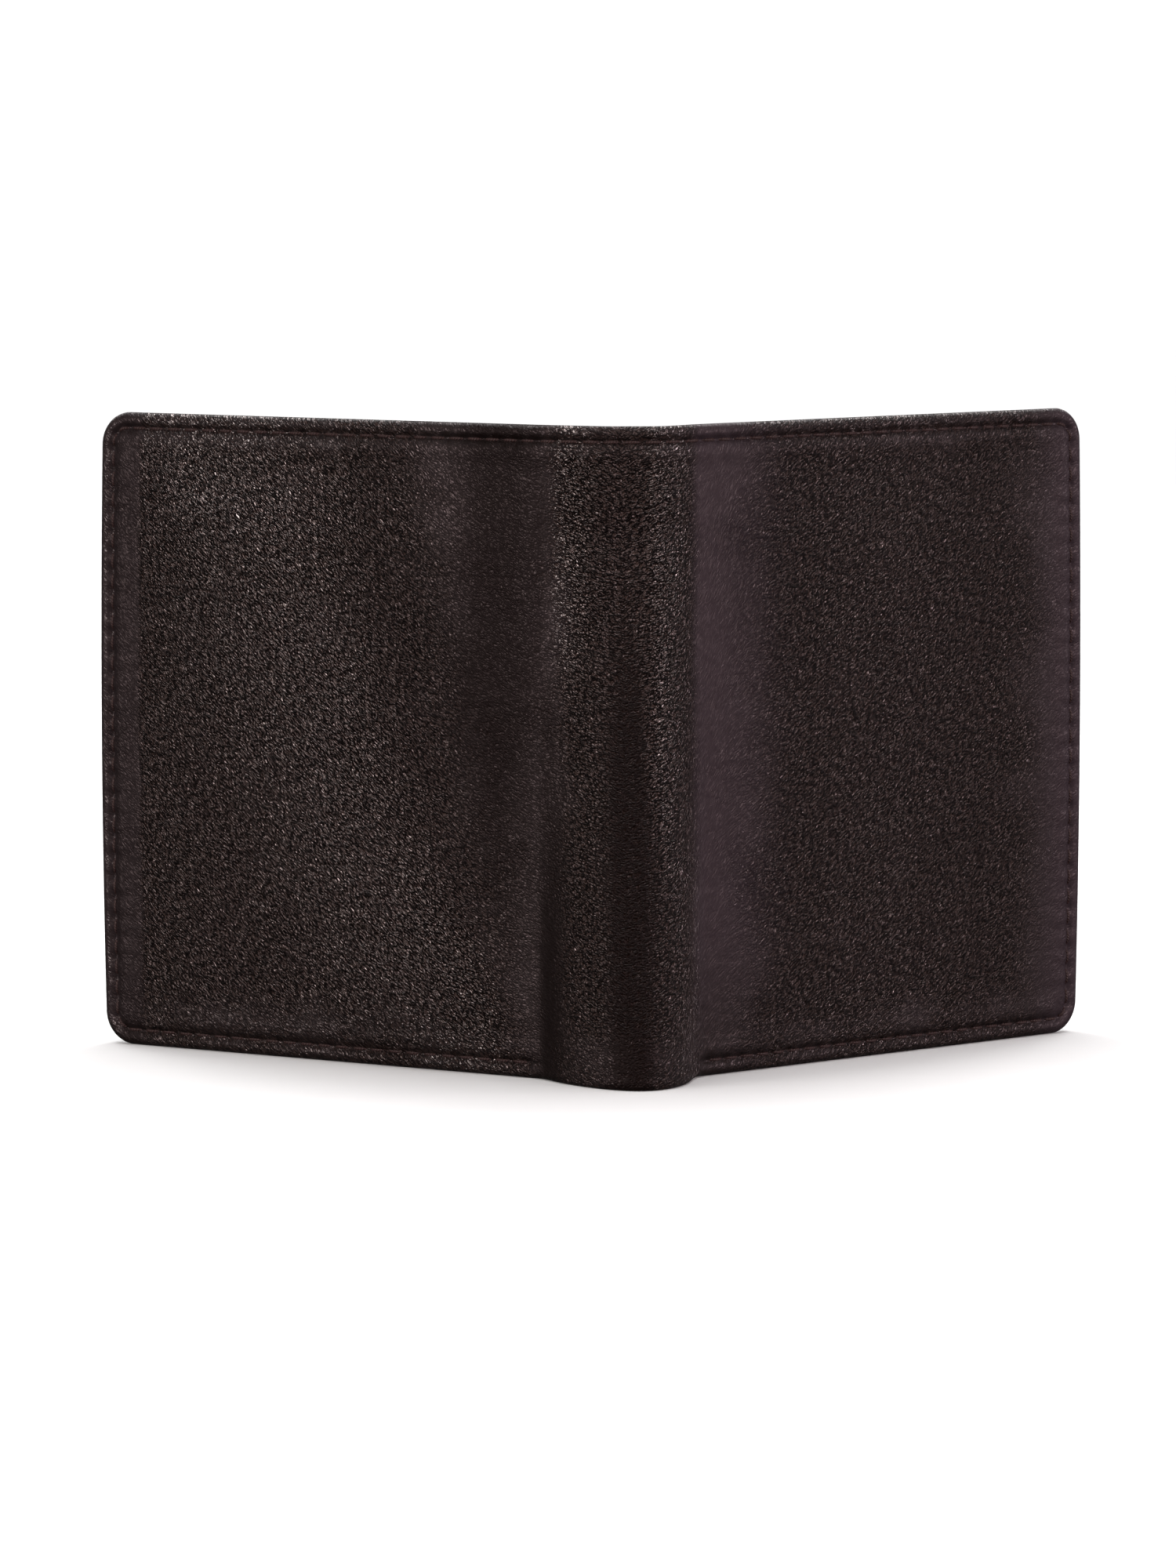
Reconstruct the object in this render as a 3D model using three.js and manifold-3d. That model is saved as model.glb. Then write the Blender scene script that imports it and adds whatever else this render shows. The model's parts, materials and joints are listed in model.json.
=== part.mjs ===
// A portrait bifold wallet in leather, standing open on its lower edge with its spine towards -Y.
// Millimetres, +Z up. The origin is on the surface it stands on, under the middle of the open wallet.
import * as THREE from 'three';
import Module from 'manifold-3d';
import { mergeVertices } from 'three/addons/utils/BufferGeometryUtils.js';

const wasm = await Module();
wasm.setup();

// ---------- driving dimensions ----------

const HEIGHT = 115; // of the cover, along Z
const PANEL = 93; // width of one half, from its crease to its outer edge
const SPINE = 26.5; // between the two creases
const OPEN_ANGLE = THREE.MathUtils.degToRad(35); // each half, back from the plane of the two creases
const BULGE_BOTTOM = 15.5; // how far the spine leather stands out at its lower edge
const BULGE_TOP = 5.5; // and at its upper edge
const CORNER = 5.8; // radius of the outer corners
const SIDE_BOW = 0.8; // how far an outer edge bows out at mid height
const GAP = 0.3; // between two layers that lie on each other
const CREASE_GAP = 0.5; // between a half's layers and its crease line

const COVER = 1.2; // leather thickness
const HEM = 1; // extra thickness where the cover is turned over
const HEM_WIDTH = 6;
const SEAM = 2.8; // from the cover's edge to the middle of the stitch line
const THREAD = 0.5; // thread width and depth
const GROOVE_WIDTH = 1.1;
const GROOVE_DEPTH = 0.8;

const BOARD = 0.6;
const BOARD_START = 2; // from the crease to the board, so that the cover can bend
const CLOTH = 0.3;
const LEAF = 0.5; // divider leaf and card slot strips
const WALL = 0.8; // inner leather
const NOTE_ROOM = 0.8; // gap left in each note compartment when it is empty

const SLOT_TOPS_LEFT = [102, 88, 74]; // heights of the card slot mouths
const SLOT_TOPS_RIGHT = [102, 90];
const SLOT_DEPTH = 50;
const POCKET_SIDE = 3; // from the sides of a pocket to the edge of its half

const FRAME_TOP = 60; // window pocket
const FRAME_BORDER_SIDE = 9;
const FRAME_BORDER_END = 8;
const FRAME_CORNER = 4;
const FILM_BOTTOM = 4; // height of the film's lower edge
const THUMB_NOTCH = 9; // radius of the notch in the window pocket's mouth

const COIN_TOP = 76; // mouth of the coin pocket
const GUSSET = 7; // width of the flattened gusset
const ANCHOR_HEIGHT = 5;
const FLAP_LENGTH = 26;
const FLAP_SIDE = 8; // from the flap's sides to the edge of the half
const FLAP_CORNER = 9;
const FLAP_TILT = THREE.MathUtils.degToRad(7); // how far the flap stands off to clear its stud
const STUD_DOWN_FLAP = 17; // from the flap's hinge line to the stud

const TOP_DROP_DIVIDER = 4; // how far these stay under the cover's top edge
const TOP_DROP_WALL = 5;
const EDGE_INSET = 0.8; // how far inner layers stay inside the cover's edge
const PIECE_CORNER = 0.6; // radius of the corners of small flat pieces
const PAST = 1; // how far a cutting shape reaches past what it cuts

// ---------- materials ----------

const finish = (name, color, roughness, metalness = 0) =>
  new THREE.MeshStandardMaterial({ name, color, roughness, metalness });

const coverLeather = finish('cover_leather', 0x2b201e, 0.42);
const innerLeather = finish('inner_leather', 0x2e2220, 0.5);
const thread = finish('thread', 0x351815, 0.75);
const cloth = finish('lining_cloth', 0x1f1b1c, 0.85);
const board = finish('board', 0x4a3c32, 0.9);
const film = finish('clear_film', 0xd8dde0, 0.12);
film.transparent = true;
film.opacity = 0.35;
const brass = finish('antique_brass', 0x7a6238, 0.32, 1);

// ---------- solids ----------

// A closed BufferGeometry as a manifold solid.
function toSolid(geometry) {
  const bare = geometry.clone();
  bare.deleteAttribute('normal');
  bare.deleteAttribute('uv');
  const merged = mergeVertices(bare, 1e-4);
  return new wasm.Manifold(
    new wasm.Mesh({
      numProp: 3,
      vertProperties: new Float32Array(merged.attributes.position.array),
      triVerts: new Uint32Array(merged.index.array),
    }),
  );
}

function toGeometry(solid) {
  const { vertProperties, triVerts } = solid.getMesh();
  const geometry = new THREE.BufferGeometry();
  geometry.setAttribute('position', new THREE.BufferAttribute(vertProperties, 3));
  geometry.setIndex(new THREE.BufferAttribute(triVerts, 1));
  geometry.computeVertexNormals();
  return geometry;
}

// A geometry with the shapes of some tools cut away.
function cut(from, ...tools) {
  let left = toSolid(from);
  for (const tool of tools) {
    left = left.subtract(toSolid(tool));
  }
  return toGeometry(left);
}

function part(name, geometry, material) {
  const mesh = new THREE.Mesh(geometry, material.clone());
  mesh.name = name;
  return mesh;
}

// ---------- flat layers of a half ----------
// A half has its crease at x = 0 and z up. It runs outwards to x = side * PANEL, and y is the depth from
// the outside of the cover. side is -1 for the left half and 1 for the right half.

// Thickens an outline in x and z into a plate from depth near to depth far.
function plate(outline, near, far) {
  const geometry = new THREE.ExtrudeGeometry(outline, {
    depth: far - near,
    bevelEnabled: false,
    curveSegments: 8,
  });
  geometry.rotateX(Math.PI / 2);
  geometry.translate(0, far, 0);
  return geometry;
}

// The outline of a half's layer. It stays inset inside the cover's edge and drop under its top, and
// starts at the distance start from the crease.
function halfOutline(side, { inset = 0, drop = inset, start = CREASE_GAP } = {}) {
  const right = PANEL - inset;
  const bottom = inset;
  const top = HEIGHT - drop;
  const radius = Math.max(CORNER - inset, 1);
  const outline = new THREE.Shape();
  outline.moveTo(side * start, bottom);
  outline.lineTo(side * (right - radius), bottom);
  outline.quadraticCurveTo(side * right, bottom, side * right, bottom + radius);
  const bowed = side * (right + 2 * SIDE_BOW);
  outline.quadraticCurveTo(bowed, (bottom + top) / 2, side * right, top - radius);
  outline.quadraticCurveTo(side * right, top, side * (right - radius), top);
  outline.lineTo(side * start, top);
  outline.closePath();
  return outline;
}

// A rectangle with round corners, between two distances from the crease.
function rectangle(side, from, to, bottom, top, radius = PIECE_CORNER) {
  const shape = new THREE.Shape();
  shape.moveTo(side * (from + radius), bottom);
  shape.lineTo(side * (to - radius), bottom);
  shape.quadraticCurveTo(side * to, bottom, side * to, bottom + radius);
  shape.lineTo(side * to, top - radius);
  shape.quadraticCurveTo(side * to, top, side * (to - radius), top);
  shape.lineTo(side * (from + radius), top);
  shape.quadraticCurveTo(side * from, top, side * from, top - radius);
  shape.lineTo(side * from, bottom + radius);
  shape.quadraticCurveTo(side * from, bottom, side * (from + radius), bottom);
  return shape;
}

// The depths of one layer that lies on another.
function layerOn(below, thickness, room = GAP) {
  const near = below.far + room;
  return { near, far: near + thickness };
}

const COVER_LAYER = { near: 0, far: COVER };
const HEM_LAYER = { near: 0, far: COVER + HEM };
const BOARD_LAYER = layerOn(COVER_LAYER, BOARD);
const LINING_LAYER = layerOn(HEM_LAYER, CLOTH);
const DIVIDER_LAYER = layerOn(LINING_LAYER, LEAF, NOTE_ROOM);
const WALL_LAYER = layerOn(DIVIDER_LAYER, WALL, NOTE_ROOM);

// The cover leather of a half: turned over at its three free edges, with the stitch groove outside.
function coverPanel(side) {
  const whole = plate(halfOutline(side), HEM_LAYER.near, HEM_LAYER.far);
  const inHem = halfOutline(side, { inset: HEM_WIDTH, start: -PAST });
  const aroundGroove = halfOutline(side, { inset: SEAM - GROOVE_WIDTH / 2, start: -PAST });
  const inGroove = halfOutline(side, { inset: SEAM + GROOVE_WIDTH / 2, start: -2 * PAST });
  const groove = cut(
    plate(aroundGroove, -PAST, GROOVE_DEPTH),
    plate(inGroove, -2 * PAST, GROOVE_DEPTH + PAST),
  );
  return cut(whole, plate(inHem, COVER_LAYER.far, HEM_LAYER.far + PAST), groove);
}

// The seam thread of a half, down in its groove.
function seamThread(side) {
  const near = GROOVE_DEPTH - GAP - THREAD;
  const far = GROOVE_DEPTH - GAP;
  const inside = halfOutline(side, { inset: SEAM + THREAD / 2, start: -PAST });
  return cut(
    plate(halfOutline(side, { inset: SEAM - THREAD / 2 }), near, far),
    plate(inside, near - PAST, far + PAST),
  );
}

// Card slot strips, the highest at the back. Returns the meshes and the last layer.
function cardSlots(side, label, tops) {
  let layer = WALL_LAYER;
  const meshes = tops.map((top, index) => {
    layer = layerOn(layer, LEAF);
    const shape = rectangle(side, POCKET_SIDE, PANEL - POCKET_SIDE, top - SLOT_DEPTH, top);
    return part(`card_slot_${label}_${index + 1}`, plate(shape, layer.near, layer.far), innerLeather);
  });
  return { meshes, layer };
}

// The layers that both halves have, from the cover to the inner wall.
function commonLayers(side, label) {
  const boardOutline = halfOutline(side, { inset: HEM_WIDTH + GAP, start: BOARD_START });
  const liningOutline = halfOutline(side, { inset: SEAM + EDGE_INSET });
  const dividerOutline = halfOutline(side, { inset: 2 * EDGE_INSET, drop: TOP_DROP_DIVIDER });
  const wallOutline = halfOutline(side, { inset: EDGE_INSET, drop: TOP_DROP_WALL });
  return [
    part(`cover_${label}`, coverPanel(side), coverLeather),
    part(`thread_${label}`, seamThread(side), thread),
    part(`cover_board_${label}`, plate(boardOutline, BOARD_LAYER.near, BOARD_LAYER.far), board),
    part(`lining_${label}`, plate(liningOutline, LINING_LAYER.near, LINING_LAYER.far), cloth),
    part(`divider_${label}`, plate(dividerOutline, DIVIDER_LAYER.near, DIVIDER_LAYER.far), cloth),
    part(`inner_wall_${label}`, plate(wallOutline, WALL_LAYER.near, WALL_LAYER.far), innerLeather),
  ];
}

// ---------- left half: card slots and a window pocket ----------

function windowFrame(side, layer) {
  const inner = POCKET_SIDE;
  const outer = PANEL - 2 * EDGE_INSET;
  const bottom = 2 * EDGE_INSET;
  const middle = (inner + outer) / 2;
  const notchStart = side * (middle + THUMB_NOTCH);
  const notchEnd = side * (middle - THUMB_NOTCH);
  const outline = new THREE.Shape();
  outline.moveTo(side * inner, bottom);
  outline.lineTo(side * (outer - CORNER), bottom);
  outline.quadraticCurveTo(side * outer, bottom, side * outer, bottom + CORNER);
  outline.lineTo(side * outer, FRAME_TOP);
  outline.lineTo(notchStart, FRAME_TOP);
  outline.quadraticCurveTo(side * middle, FRAME_TOP - THUMB_NOTCH, notchEnd, FRAME_TOP);
  outline.lineTo(side * inner, FRAME_TOP);
  outline.closePath();
  const opening = rectangle(
    side,
    inner + FRAME_BORDER_SIDE,
    outer - FRAME_BORDER_SIDE,
    bottom + FRAME_BORDER_END,
    FRAME_TOP - FRAME_BORDER_END,
    FRAME_CORNER,
  );
  return cut(
    plate(outline, layer.near, layer.far),
    plate(opening, layer.near - PAST, layer.far + PAST),
  );
}

function leftHalf() {
  const side = -1;
  const half = new THREE.Group();
  half.add(...commonLayers(side, 'left'));
  const slots = cardSlots(side, 'left', SLOT_TOPS_LEFT);
  const filmLayer = layerOn(slots.layer, CLOTH);
  const frameLayer = layerOn(filmLayer, WALL);
  const filmSide = 2 * POCKET_SIDE;
  const filmTop = FRAME_TOP - THUMB_NOTCH / 2;
  const filmShape = rectangle(side, filmSide, PANEL - filmSide, FILM_BOTTOM, filmTop);
  half.add(
    ...slots.meshes,
    part('window_film', plate(filmShape, filmLayer.near, filmLayer.far), film),
    part('window_frame', windowFrame(side, frameLayer), innerLeather),
  );
  return half;
}

// ---------- press stud ----------
// Each is turned about an axis along y, with depth measured outwards from the leather that it sits on.

const POST_RADIUS = 1.4;
const POST_END = 0.2; // how far a post's riveted end stands past the leather's clearance
const HOLE_RADIUS = POST_RADIUS + GAP;
const BALL_RADIUS = 1.9;
const BALL_HEIGHT = 1.4;
const BALL_NECK = 0.4; // how much narrower the ball is at its foot
const BALL_CHAMFER = 0.5;
const STUD_BASE_RADIUS = 4.2;
const STUD_BASE = 0.5;
const STUD_CLEARANCE = 0.8; // between the stud's base and the socket, with the ball in the bore
const SOCKET_THICKNESS = 1;
const SOCKET_CHAMFER = 0.35;
const EYELET_RADIUS = 3.6;
const EYELET_RIM = 0.4;
const CAP_RADIUS = 6;
const CAP_RIM = 0.3;
const CAP_DOME = 0.9;

const turned = (points) =>
  new THREE.LatheGeometry(points.map(([radius, depth]) => new THREE.Vector2(radius, depth)), 32);

// Cap on the outside of the flap, with its post going back through the flap.
function studCap(flapThickness) {
  const back = -(flapThickness + GAP + POST_END);
  return turned([
    [0, back],
    [POST_RADIUS, back],
    [POST_RADIUS, 0],
    [CAP_RADIUS - CAP_RIM, 0],
    [CAP_RADIUS, CAP_RIM],
    [CAP_RADIUS * 0.8, CAP_DOME * 0.75],
    [CAP_RADIUS * 0.45, CAP_DOME * 0.95],
    [0, CAP_DOME],
  ]);
}

function studSocket() {
  const bore = BALL_RADIUS + GAP;
  return turned([
    [bore, 0],
    [STUD_BASE_RADIUS - SOCKET_CHAMFER, 0],
    [STUD_BASE_RADIUS, SOCKET_CHAMFER],
    [STUD_BASE_RADIUS, SOCKET_THICKNESS],
    [bore, SOCKET_THICKNESS],
    [bore, 0],
  ]);
}

function studBall() {
  return turned([
    [0, 0],
    [STUD_BASE_RADIUS, 0],
    [STUD_BASE_RADIUS - POST_END, STUD_BASE],
    [BALL_RADIUS - BALL_NECK, STUD_BASE],
    [BALL_RADIUS, STUD_BASE + BALL_HEIGHT * 0.6],
    [BALL_RADIUS - BALL_CHAMFER, STUD_BASE + BALL_HEIGHT],
    [0, STUD_BASE + BALL_HEIGHT],
  ]);
}

// Eyelet behind the pocket front, with its post going forward through the front.
function studEyelet(frontThickness) {
  return turned([
    [0, -EYELET_RIM],
    [EYELET_RADIUS, -EYELET_RIM],
    [EYELET_RADIUS, 0],
    [POST_RADIUS, 0],
    [POST_RADIUS, GAP + frontThickness],
    [0, GAP + frontThickness],
  ]);
}

function holeTool(x, z, near, far) {
  const tool = new THREE.CylinderGeometry(HOLE_RADIUS, HOLE_RADIUS, far - near, 24);
  tool.translate(x, (near + far) / 2, z);
  return tool;
}

// ---------- right half: card slots and the coin pocket ----------

const RIGHT = 1;
const COIN_FROM = POCKET_SIDE;
const COIN_TO = PANEL - POCKET_SIDE;
const FLAP_MIDDLE = PANEL / 2;
const HINGE_HEIGHT = COIN_TOP + 0.4; // just over the lower edge of the strip that holds the flap
const GUSSET_TOP = COIN_TOP - 1;
const FRONT_TOP = COIN_TOP - 2;

function gussetShape() {
  const shape = new THREE.Shape();
  const bottom = 2 * EDGE_INSET;
  shape.moveTo(COIN_FROM, bottom);
  shape.lineTo(COIN_TO, bottom);
  shape.lineTo(COIN_TO, GUSSET_TOP);
  shape.lineTo(COIN_TO - GUSSET, GUSSET_TOP);
  shape.lineTo(COIN_TO - GUSSET, bottom + GUSSET);
  shape.lineTo(COIN_FROM + GUSSET, bottom + GUSSET);
  shape.lineTo(COIN_FROM + GUSSET, GUSSET_TOP);
  shape.lineTo(COIN_FROM, GUSSET_TOP);
  shape.closePath();
  return shape;
}

// The flap hangs from its hinge line at z = 0, with its outer face at y = 0.
function flapShape() {
  const half = PANEL / 2 - FLAP_SIDE;
  const shape = new THREE.Shape();
  shape.moveTo(-half, -GAP);
  shape.lineTo(-half, FLAP_CORNER - FLAP_LENGTH);
  shape.quadraticCurveTo(-half, -FLAP_LENGTH, FLAP_CORNER - half, -FLAP_LENGTH);
  shape.lineTo(half - FLAP_CORNER, -FLAP_LENGTH);
  shape.quadraticCurveTo(half, -FLAP_LENGTH, half, FLAP_CORNER - FLAP_LENGTH);
  shape.lineTo(half, -GAP);
  shape.closePath();
  return shape;
}

function rightHalf() {
  const half = new THREE.Group();
  half.add(...commonLayers(RIGHT, 'right'));
  const slots = cardSlots(RIGHT, 'right', SLOT_TOPS_RIGHT);
  half.add(...slots.meshes);

  const baseLayer = layerOn(slots.layer, LEAF);
  const gussetLayer = layerOn(baseLayer, WALL);
  const frontLayer = layerOn(gussetLayer, WALL);
  const anchorLayer = layerOn(baseLayer, 2 * WALL);
  const pocketBottom = 2 * EDGE_INSET;
  const anchorBottom = COIN_TOP + GAP;
  const anchorTop = anchorBottom + ANCHOR_HEIGHT;
  const baseShape = rectangle(RIGHT, COIN_FROM, COIN_TO, pocketBottom, anchorTop);
  const frontShape = rectangle(RIGHT, COIN_FROM, COIN_TO, pocketBottom, FRONT_TOP);
  const anchorShape = rectangle(RIGHT, FLAP_SIDE, PANEL - FLAP_SIDE, anchorBottom, anchorTop);

  // The flap clears the stud: its inner face passes over the stud's base and the socket.
  const studOff = frontLayer.far + GAP + STUD_BASE + STUD_CLEARANCE;
  const flapInner = studOff + SOCKET_THICKNESS + GAP;
  const hingeDepth = flapInner + WALL - STUD_DOWN_FLAP * Math.sin(FLAP_TILT);
  const studHeight = HINGE_HEIGHT - STUD_DOWN_FLAP * Math.cos(FLAP_TILT);

  const front = cut(
    plate(frontShape, frontLayer.near, frontLayer.far),
    holeTool(FLAP_MIDDLE, studHeight, frontLayer.near - PAST, frontLayer.far + PAST),
  );
  half.add(
    part('coin_pocket_base', plate(baseShape, baseLayer.near, baseLayer.far), innerLeather),
    part('coin_pocket_gusset', plate(gussetShape(), gussetLayer.near, gussetLayer.far), innerLeather),
    part('coin_pocket_front', front, innerLeather),
    part('coin_flap_anchor', plate(anchorShape, anchorLayer.near, anchorLayer.far), innerLeather),
  );
  const stud = part('press_stud_ball', studBall(), brass);
  stud.position.set(FLAP_MIDDLE, frontLayer.far + GAP, studHeight);
  const eyelet = part('press_stud_eyelet', studEyelet(frontLayer.far - frontLayer.near), brass);
  eyelet.position.set(FLAP_MIDDLE, frontLayer.near - GAP, studHeight);
  half.add(stud, eyelet);

  const flap = new THREE.Group();
  flap.position.set(FLAP_MIDDLE, hingeDepth, HINGE_HEIGHT);
  flap.rotation.x = FLAP_TILT;
  const capHole = holeTool(0, -STUD_DOWN_FLAP, -WALL - PAST, PAST);
  const flapPlate = cut(plate(flapShape(), -WALL, 0), capHole);
  const cap = part('press_stud_cap', studCap(WALL), brass);
  cap.position.set(0, GAP, -STUD_DOWN_FLAP);
  const socket = part('press_stud_socket', studSocket(), brass);
  socket.position.set(0, -WALL - GAP - SOCKET_THICKNESS, -STUD_DOWN_FLAP);
  flap.add(part('coin_flap', flapPlate, innerLeather), cap, socket);
  half.add(flap);
  return half;
}

// ---------- spine ----------

const bulgeAt = (z) => BULGE_BOTTOM + (BULGE_TOP - BULGE_BOTTOM) * (z / HEIGHT);
const SPINE_START = Math.asin(0.06); // the leather stops just short of the creases
const DIVIDER_BACK = CREASE_GAP + 2 * LEAF + 1.3 * GAP; // how deep the divider's ends lie
const DIVIDER_STRIP = SPINE - 11.5; // width of the divider between the creases
const DIVIDER_SAG = 0.25; // how far the divider follows the bulge of the spine
const WALL_STRIP = SPINE - 7.3; // width of the inner wall between the creases

// A closed sheet between two curved faces. outer and inner give a point for a share of the way along the
// arch and a height.
function archSheet(outer, inner, bottom, top, rows = 8) {
  const steps = 20;
  const positions = [];
  const ring = [];
  for (let row = 0; row <= rows; row += 1) {
    const z = bottom + ((top - bottom) * row) / rows;
    const loop = [];
    for (let step = 0; step <= steps; step += 1) {
      loop.push(outer(step / steps, z));
    }
    for (let step = steps; step >= 0; step -= 1) {
      loop.push(inner(step / steps, z));
    }
    ring.push(loop);
  }
  const quad = (a, b, c, d) => positions.push(...a, ...b, ...c, ...a, ...c, ...d);
  const count = 2 * (steps + 1);
  for (let row = 0; row < rows; row += 1) {
    for (let index = 0; index < count; index += 1) {
      const next = (index + 1) % count;
      quad(ring[row][index], ring[row][next], ring[row + 1][next], ring[row + 1][index]);
    }
  }
  for (let step = 0; step < steps; step += 1) {
    const across = count - 1 - step;
    quad(ring[0][step], ring[0][across], ring[0][across - 1], ring[0][step + 1]);
    quad(ring[rows][step], ring[rows][step + 1], ring[rows][across - 1], ring[rows][across]);
  }
  const geometry = new THREE.BufferGeometry();
  geometry.setAttribute('position', new THREE.Float32BufferAttribute(positions, 3));
  const merged = mergeVertices(geometry, 1e-5);
  merged.computeVertexNormals();
  return merged;
}

// A face of the arch that lies depth inside the outside of the spine leather.
function archFace(depth) {
  return (along, z) => {
    const angle = SPINE_START + (Math.PI - 2 * SPINE_START) * along;
    const x = -(SPINE / 2 - CREASE_GAP / 2 - depth) * Math.cos(angle);
    const y = -(bulgeAt(z) - depth) * Math.sin(angle);
    return [x, y, z];
  };
}

// A face of the divider leaf, which hangs in a shallow curve between the lining and the inner wall.
function dividerFace(depth) {
  const halfWidth = DIVIDER_STRIP / 2;
  return (along, z) => {
    const x = halfWidth * (2 * along - 1);
    const sag = DIVIDER_SAG * (bulgeAt(z) - COVER - CLOTH - NOTE_ROOM);
    const y = depth - DIVIDER_BACK - sag * (1 - (x / halfWidth) ** 2);
    return [x, y, z];
  };
}

// A band round the arch, centred on the top seam.
function seamBand(outer, inner, width) {
  const middle = HEIGHT - SEAM;
  return archSheet(archFace(outer), archFace(inner), middle - width / 2, middle + width / 2, 1);
}

function spinePieces() {
  const cover = archSheet(archFace(0), archFace(COVER), 0, HEIGHT);
  const groove = seamBand(-PAST, GROOVE_DEPTH, GROOVE_WIDTH);
  const threadNear = GROOVE_DEPTH - GAP - THREAD;
  const threadSheet = seamBand(threadNear, threadNear + THREAD, THREAD);
  const liningNear = COVER + GAP;
  const liningTop = HEIGHT - SEAM - EDGE_INSET;
  const lining = archSheet(
    archFace(liningNear),
    archFace(liningNear + CLOTH),
    SEAM + EDGE_INSET,
    liningTop,
  );
  const dividerTop = HEIGHT - TOP_DROP_DIVIDER;
  const divider = archSheet(dividerFace(0), dividerFace(LEAF), 2 * EDGE_INSET, dividerTop);
  const halfStrip = WALL_STRIP / 2;
  const wallShape = rectangle(1, -halfStrip, halfStrip, EDGE_INSET, HEIGHT - TOP_DROP_WALL);
  return [
    part('cover_spine', cut(cover, groove), coverLeather),
    part('thread_spine', threadSheet, thread),
    part('lining_spine', lining, cloth),
    part('divider_spine', divider, cloth),
    part('inner_wall_spine', plate(wallShape, -CREASE_GAP - LEAF, -CREASE_GAP), innerLeather),
  ];
}

// ---------- the wallet ----------

const wallet = new THREE.Group();
wallet.name = 'wallet';
wallet.add(...spinePieces());

const left = leftHalf();
left.position.x = -SPINE / 2;
left.rotation.z = -OPEN_ANGLE;
const right = rightHalf();
right.position.x = SPINE / 2;
right.rotation.z = OPEN_ANGLE;
wallet.add(left, right);

// Puts the origin under the middle of the wallet.
const extent = new THREE.Box3().setFromObject(wallet, true);
wallet.position.y = -(extent.min.y + extent.max.y) / 2;

export default wallet;
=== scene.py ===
"""A leather bifold wallet that stands open on its lower edge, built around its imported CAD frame."""

import json
import math
from contextlib import contextmanager
from functools import cache
from typing import NamedTuple

import bmesh
import bpy
import numpy as np
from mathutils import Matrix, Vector


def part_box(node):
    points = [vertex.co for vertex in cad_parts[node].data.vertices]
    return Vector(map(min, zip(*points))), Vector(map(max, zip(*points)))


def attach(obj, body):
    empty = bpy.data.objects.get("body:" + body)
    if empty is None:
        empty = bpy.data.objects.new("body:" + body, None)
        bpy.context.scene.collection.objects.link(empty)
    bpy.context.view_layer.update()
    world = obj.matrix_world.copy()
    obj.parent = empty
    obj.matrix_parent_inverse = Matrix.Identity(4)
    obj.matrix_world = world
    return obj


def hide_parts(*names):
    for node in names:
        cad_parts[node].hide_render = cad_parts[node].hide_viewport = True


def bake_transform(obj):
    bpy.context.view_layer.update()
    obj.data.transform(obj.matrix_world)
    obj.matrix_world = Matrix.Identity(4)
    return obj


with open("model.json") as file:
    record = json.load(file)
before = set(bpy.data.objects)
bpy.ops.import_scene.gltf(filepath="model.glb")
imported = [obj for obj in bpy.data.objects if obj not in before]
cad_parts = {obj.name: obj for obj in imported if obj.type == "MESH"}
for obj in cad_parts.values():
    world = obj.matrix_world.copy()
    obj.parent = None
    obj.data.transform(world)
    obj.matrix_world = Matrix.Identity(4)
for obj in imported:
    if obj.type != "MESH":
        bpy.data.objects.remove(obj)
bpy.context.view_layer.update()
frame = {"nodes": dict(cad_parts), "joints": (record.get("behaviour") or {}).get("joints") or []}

# ---------- sizes and places, from the frame ----------

MM = 0.001
LEFT = -1
RIGHT = 1
SIDES = {LEFT: "left", RIGHT: "right"}
BODY = {LEFT: "left_half", RIGHT: "right_half"}
UP = np.array((0, 0, 1))

joints = {joint["name"]: joint for joint in frame["joints"]}
CREASE = {side: Vector(joints[f"{name}_fold"]["pos_m"]) for side, name in SIDES.items()}
CREASE_FOOT = {side: np.array((crease.x, crease.y, 0)) for side, crease in CREASE.items()}
CREASE_Y = CREASE[RIGHT].y
HALF_SPINE = CREASE[RIGHT].x
flap_axis = joints["coin_flap_lift"]["axis"]
OPEN_ANGLE = math.atan2(flap_axis[1], flap_axis[0])


def axes(side):
    """Unit directions of a half: outwards from its crease, and from its cover towards the inside."""
    along = np.array((side * math.cos(OPEN_ANGLE), math.sin(OPEN_ANGLE), 0))
    inward = np.array((-side * math.sin(OPEN_ANGLE), math.cos(OPEN_ANGLE), 0))
    return along, inward


def half_point(side, u, t, z):
    """The point u outwards from a half's crease, t deep from the outside of its cover, at height z."""
    along, inward = axes(side)
    u, t, z = np.broadcast_arrays(u, t, z)
    return CREASE_FOOT[side] + u[..., None] * along + t[..., None] * inward + z[..., None] * UP


def half_place(side, points):
    """The (u, t, z) of points: the reverse of half_point."""
    along, inward = axes(side)
    points = points - CREASE_FOOT[side]
    return np.stack((points @ along, points @ inward, points[..., 2]), axis=-1)


def cad_mesh(node):
    return frame["nodes"][node].data


def points_of(mesh):
    return np.array([vertex.co for vertex in mesh.vertices], float)


def extent(node, side):
    """The lowest and highest (u, t, z) of a CAD node of a half."""
    places = half_place(side, points_of(cad_mesh(node)))
    return places.min(0), places.max(0)


SIDE_BOW = 0.8 * MM
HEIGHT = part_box("cover_right")[1].z
PANEL = float(extent("cover_right", RIGHT)[1][0]) - SIDE_BOW
spine_points = points_of(cad_mesh("cover_spine"))
spine_top = spine_points[spine_points[:, 2] > HEIGHT - MM]
BULGE_BOTTOM = CREASE_Y - spine_points[:, 1].min()
BULGE_TOP = CREASE_Y - spine_top[:, 1].min()

# ---------- the cover's own shape ----------

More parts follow.
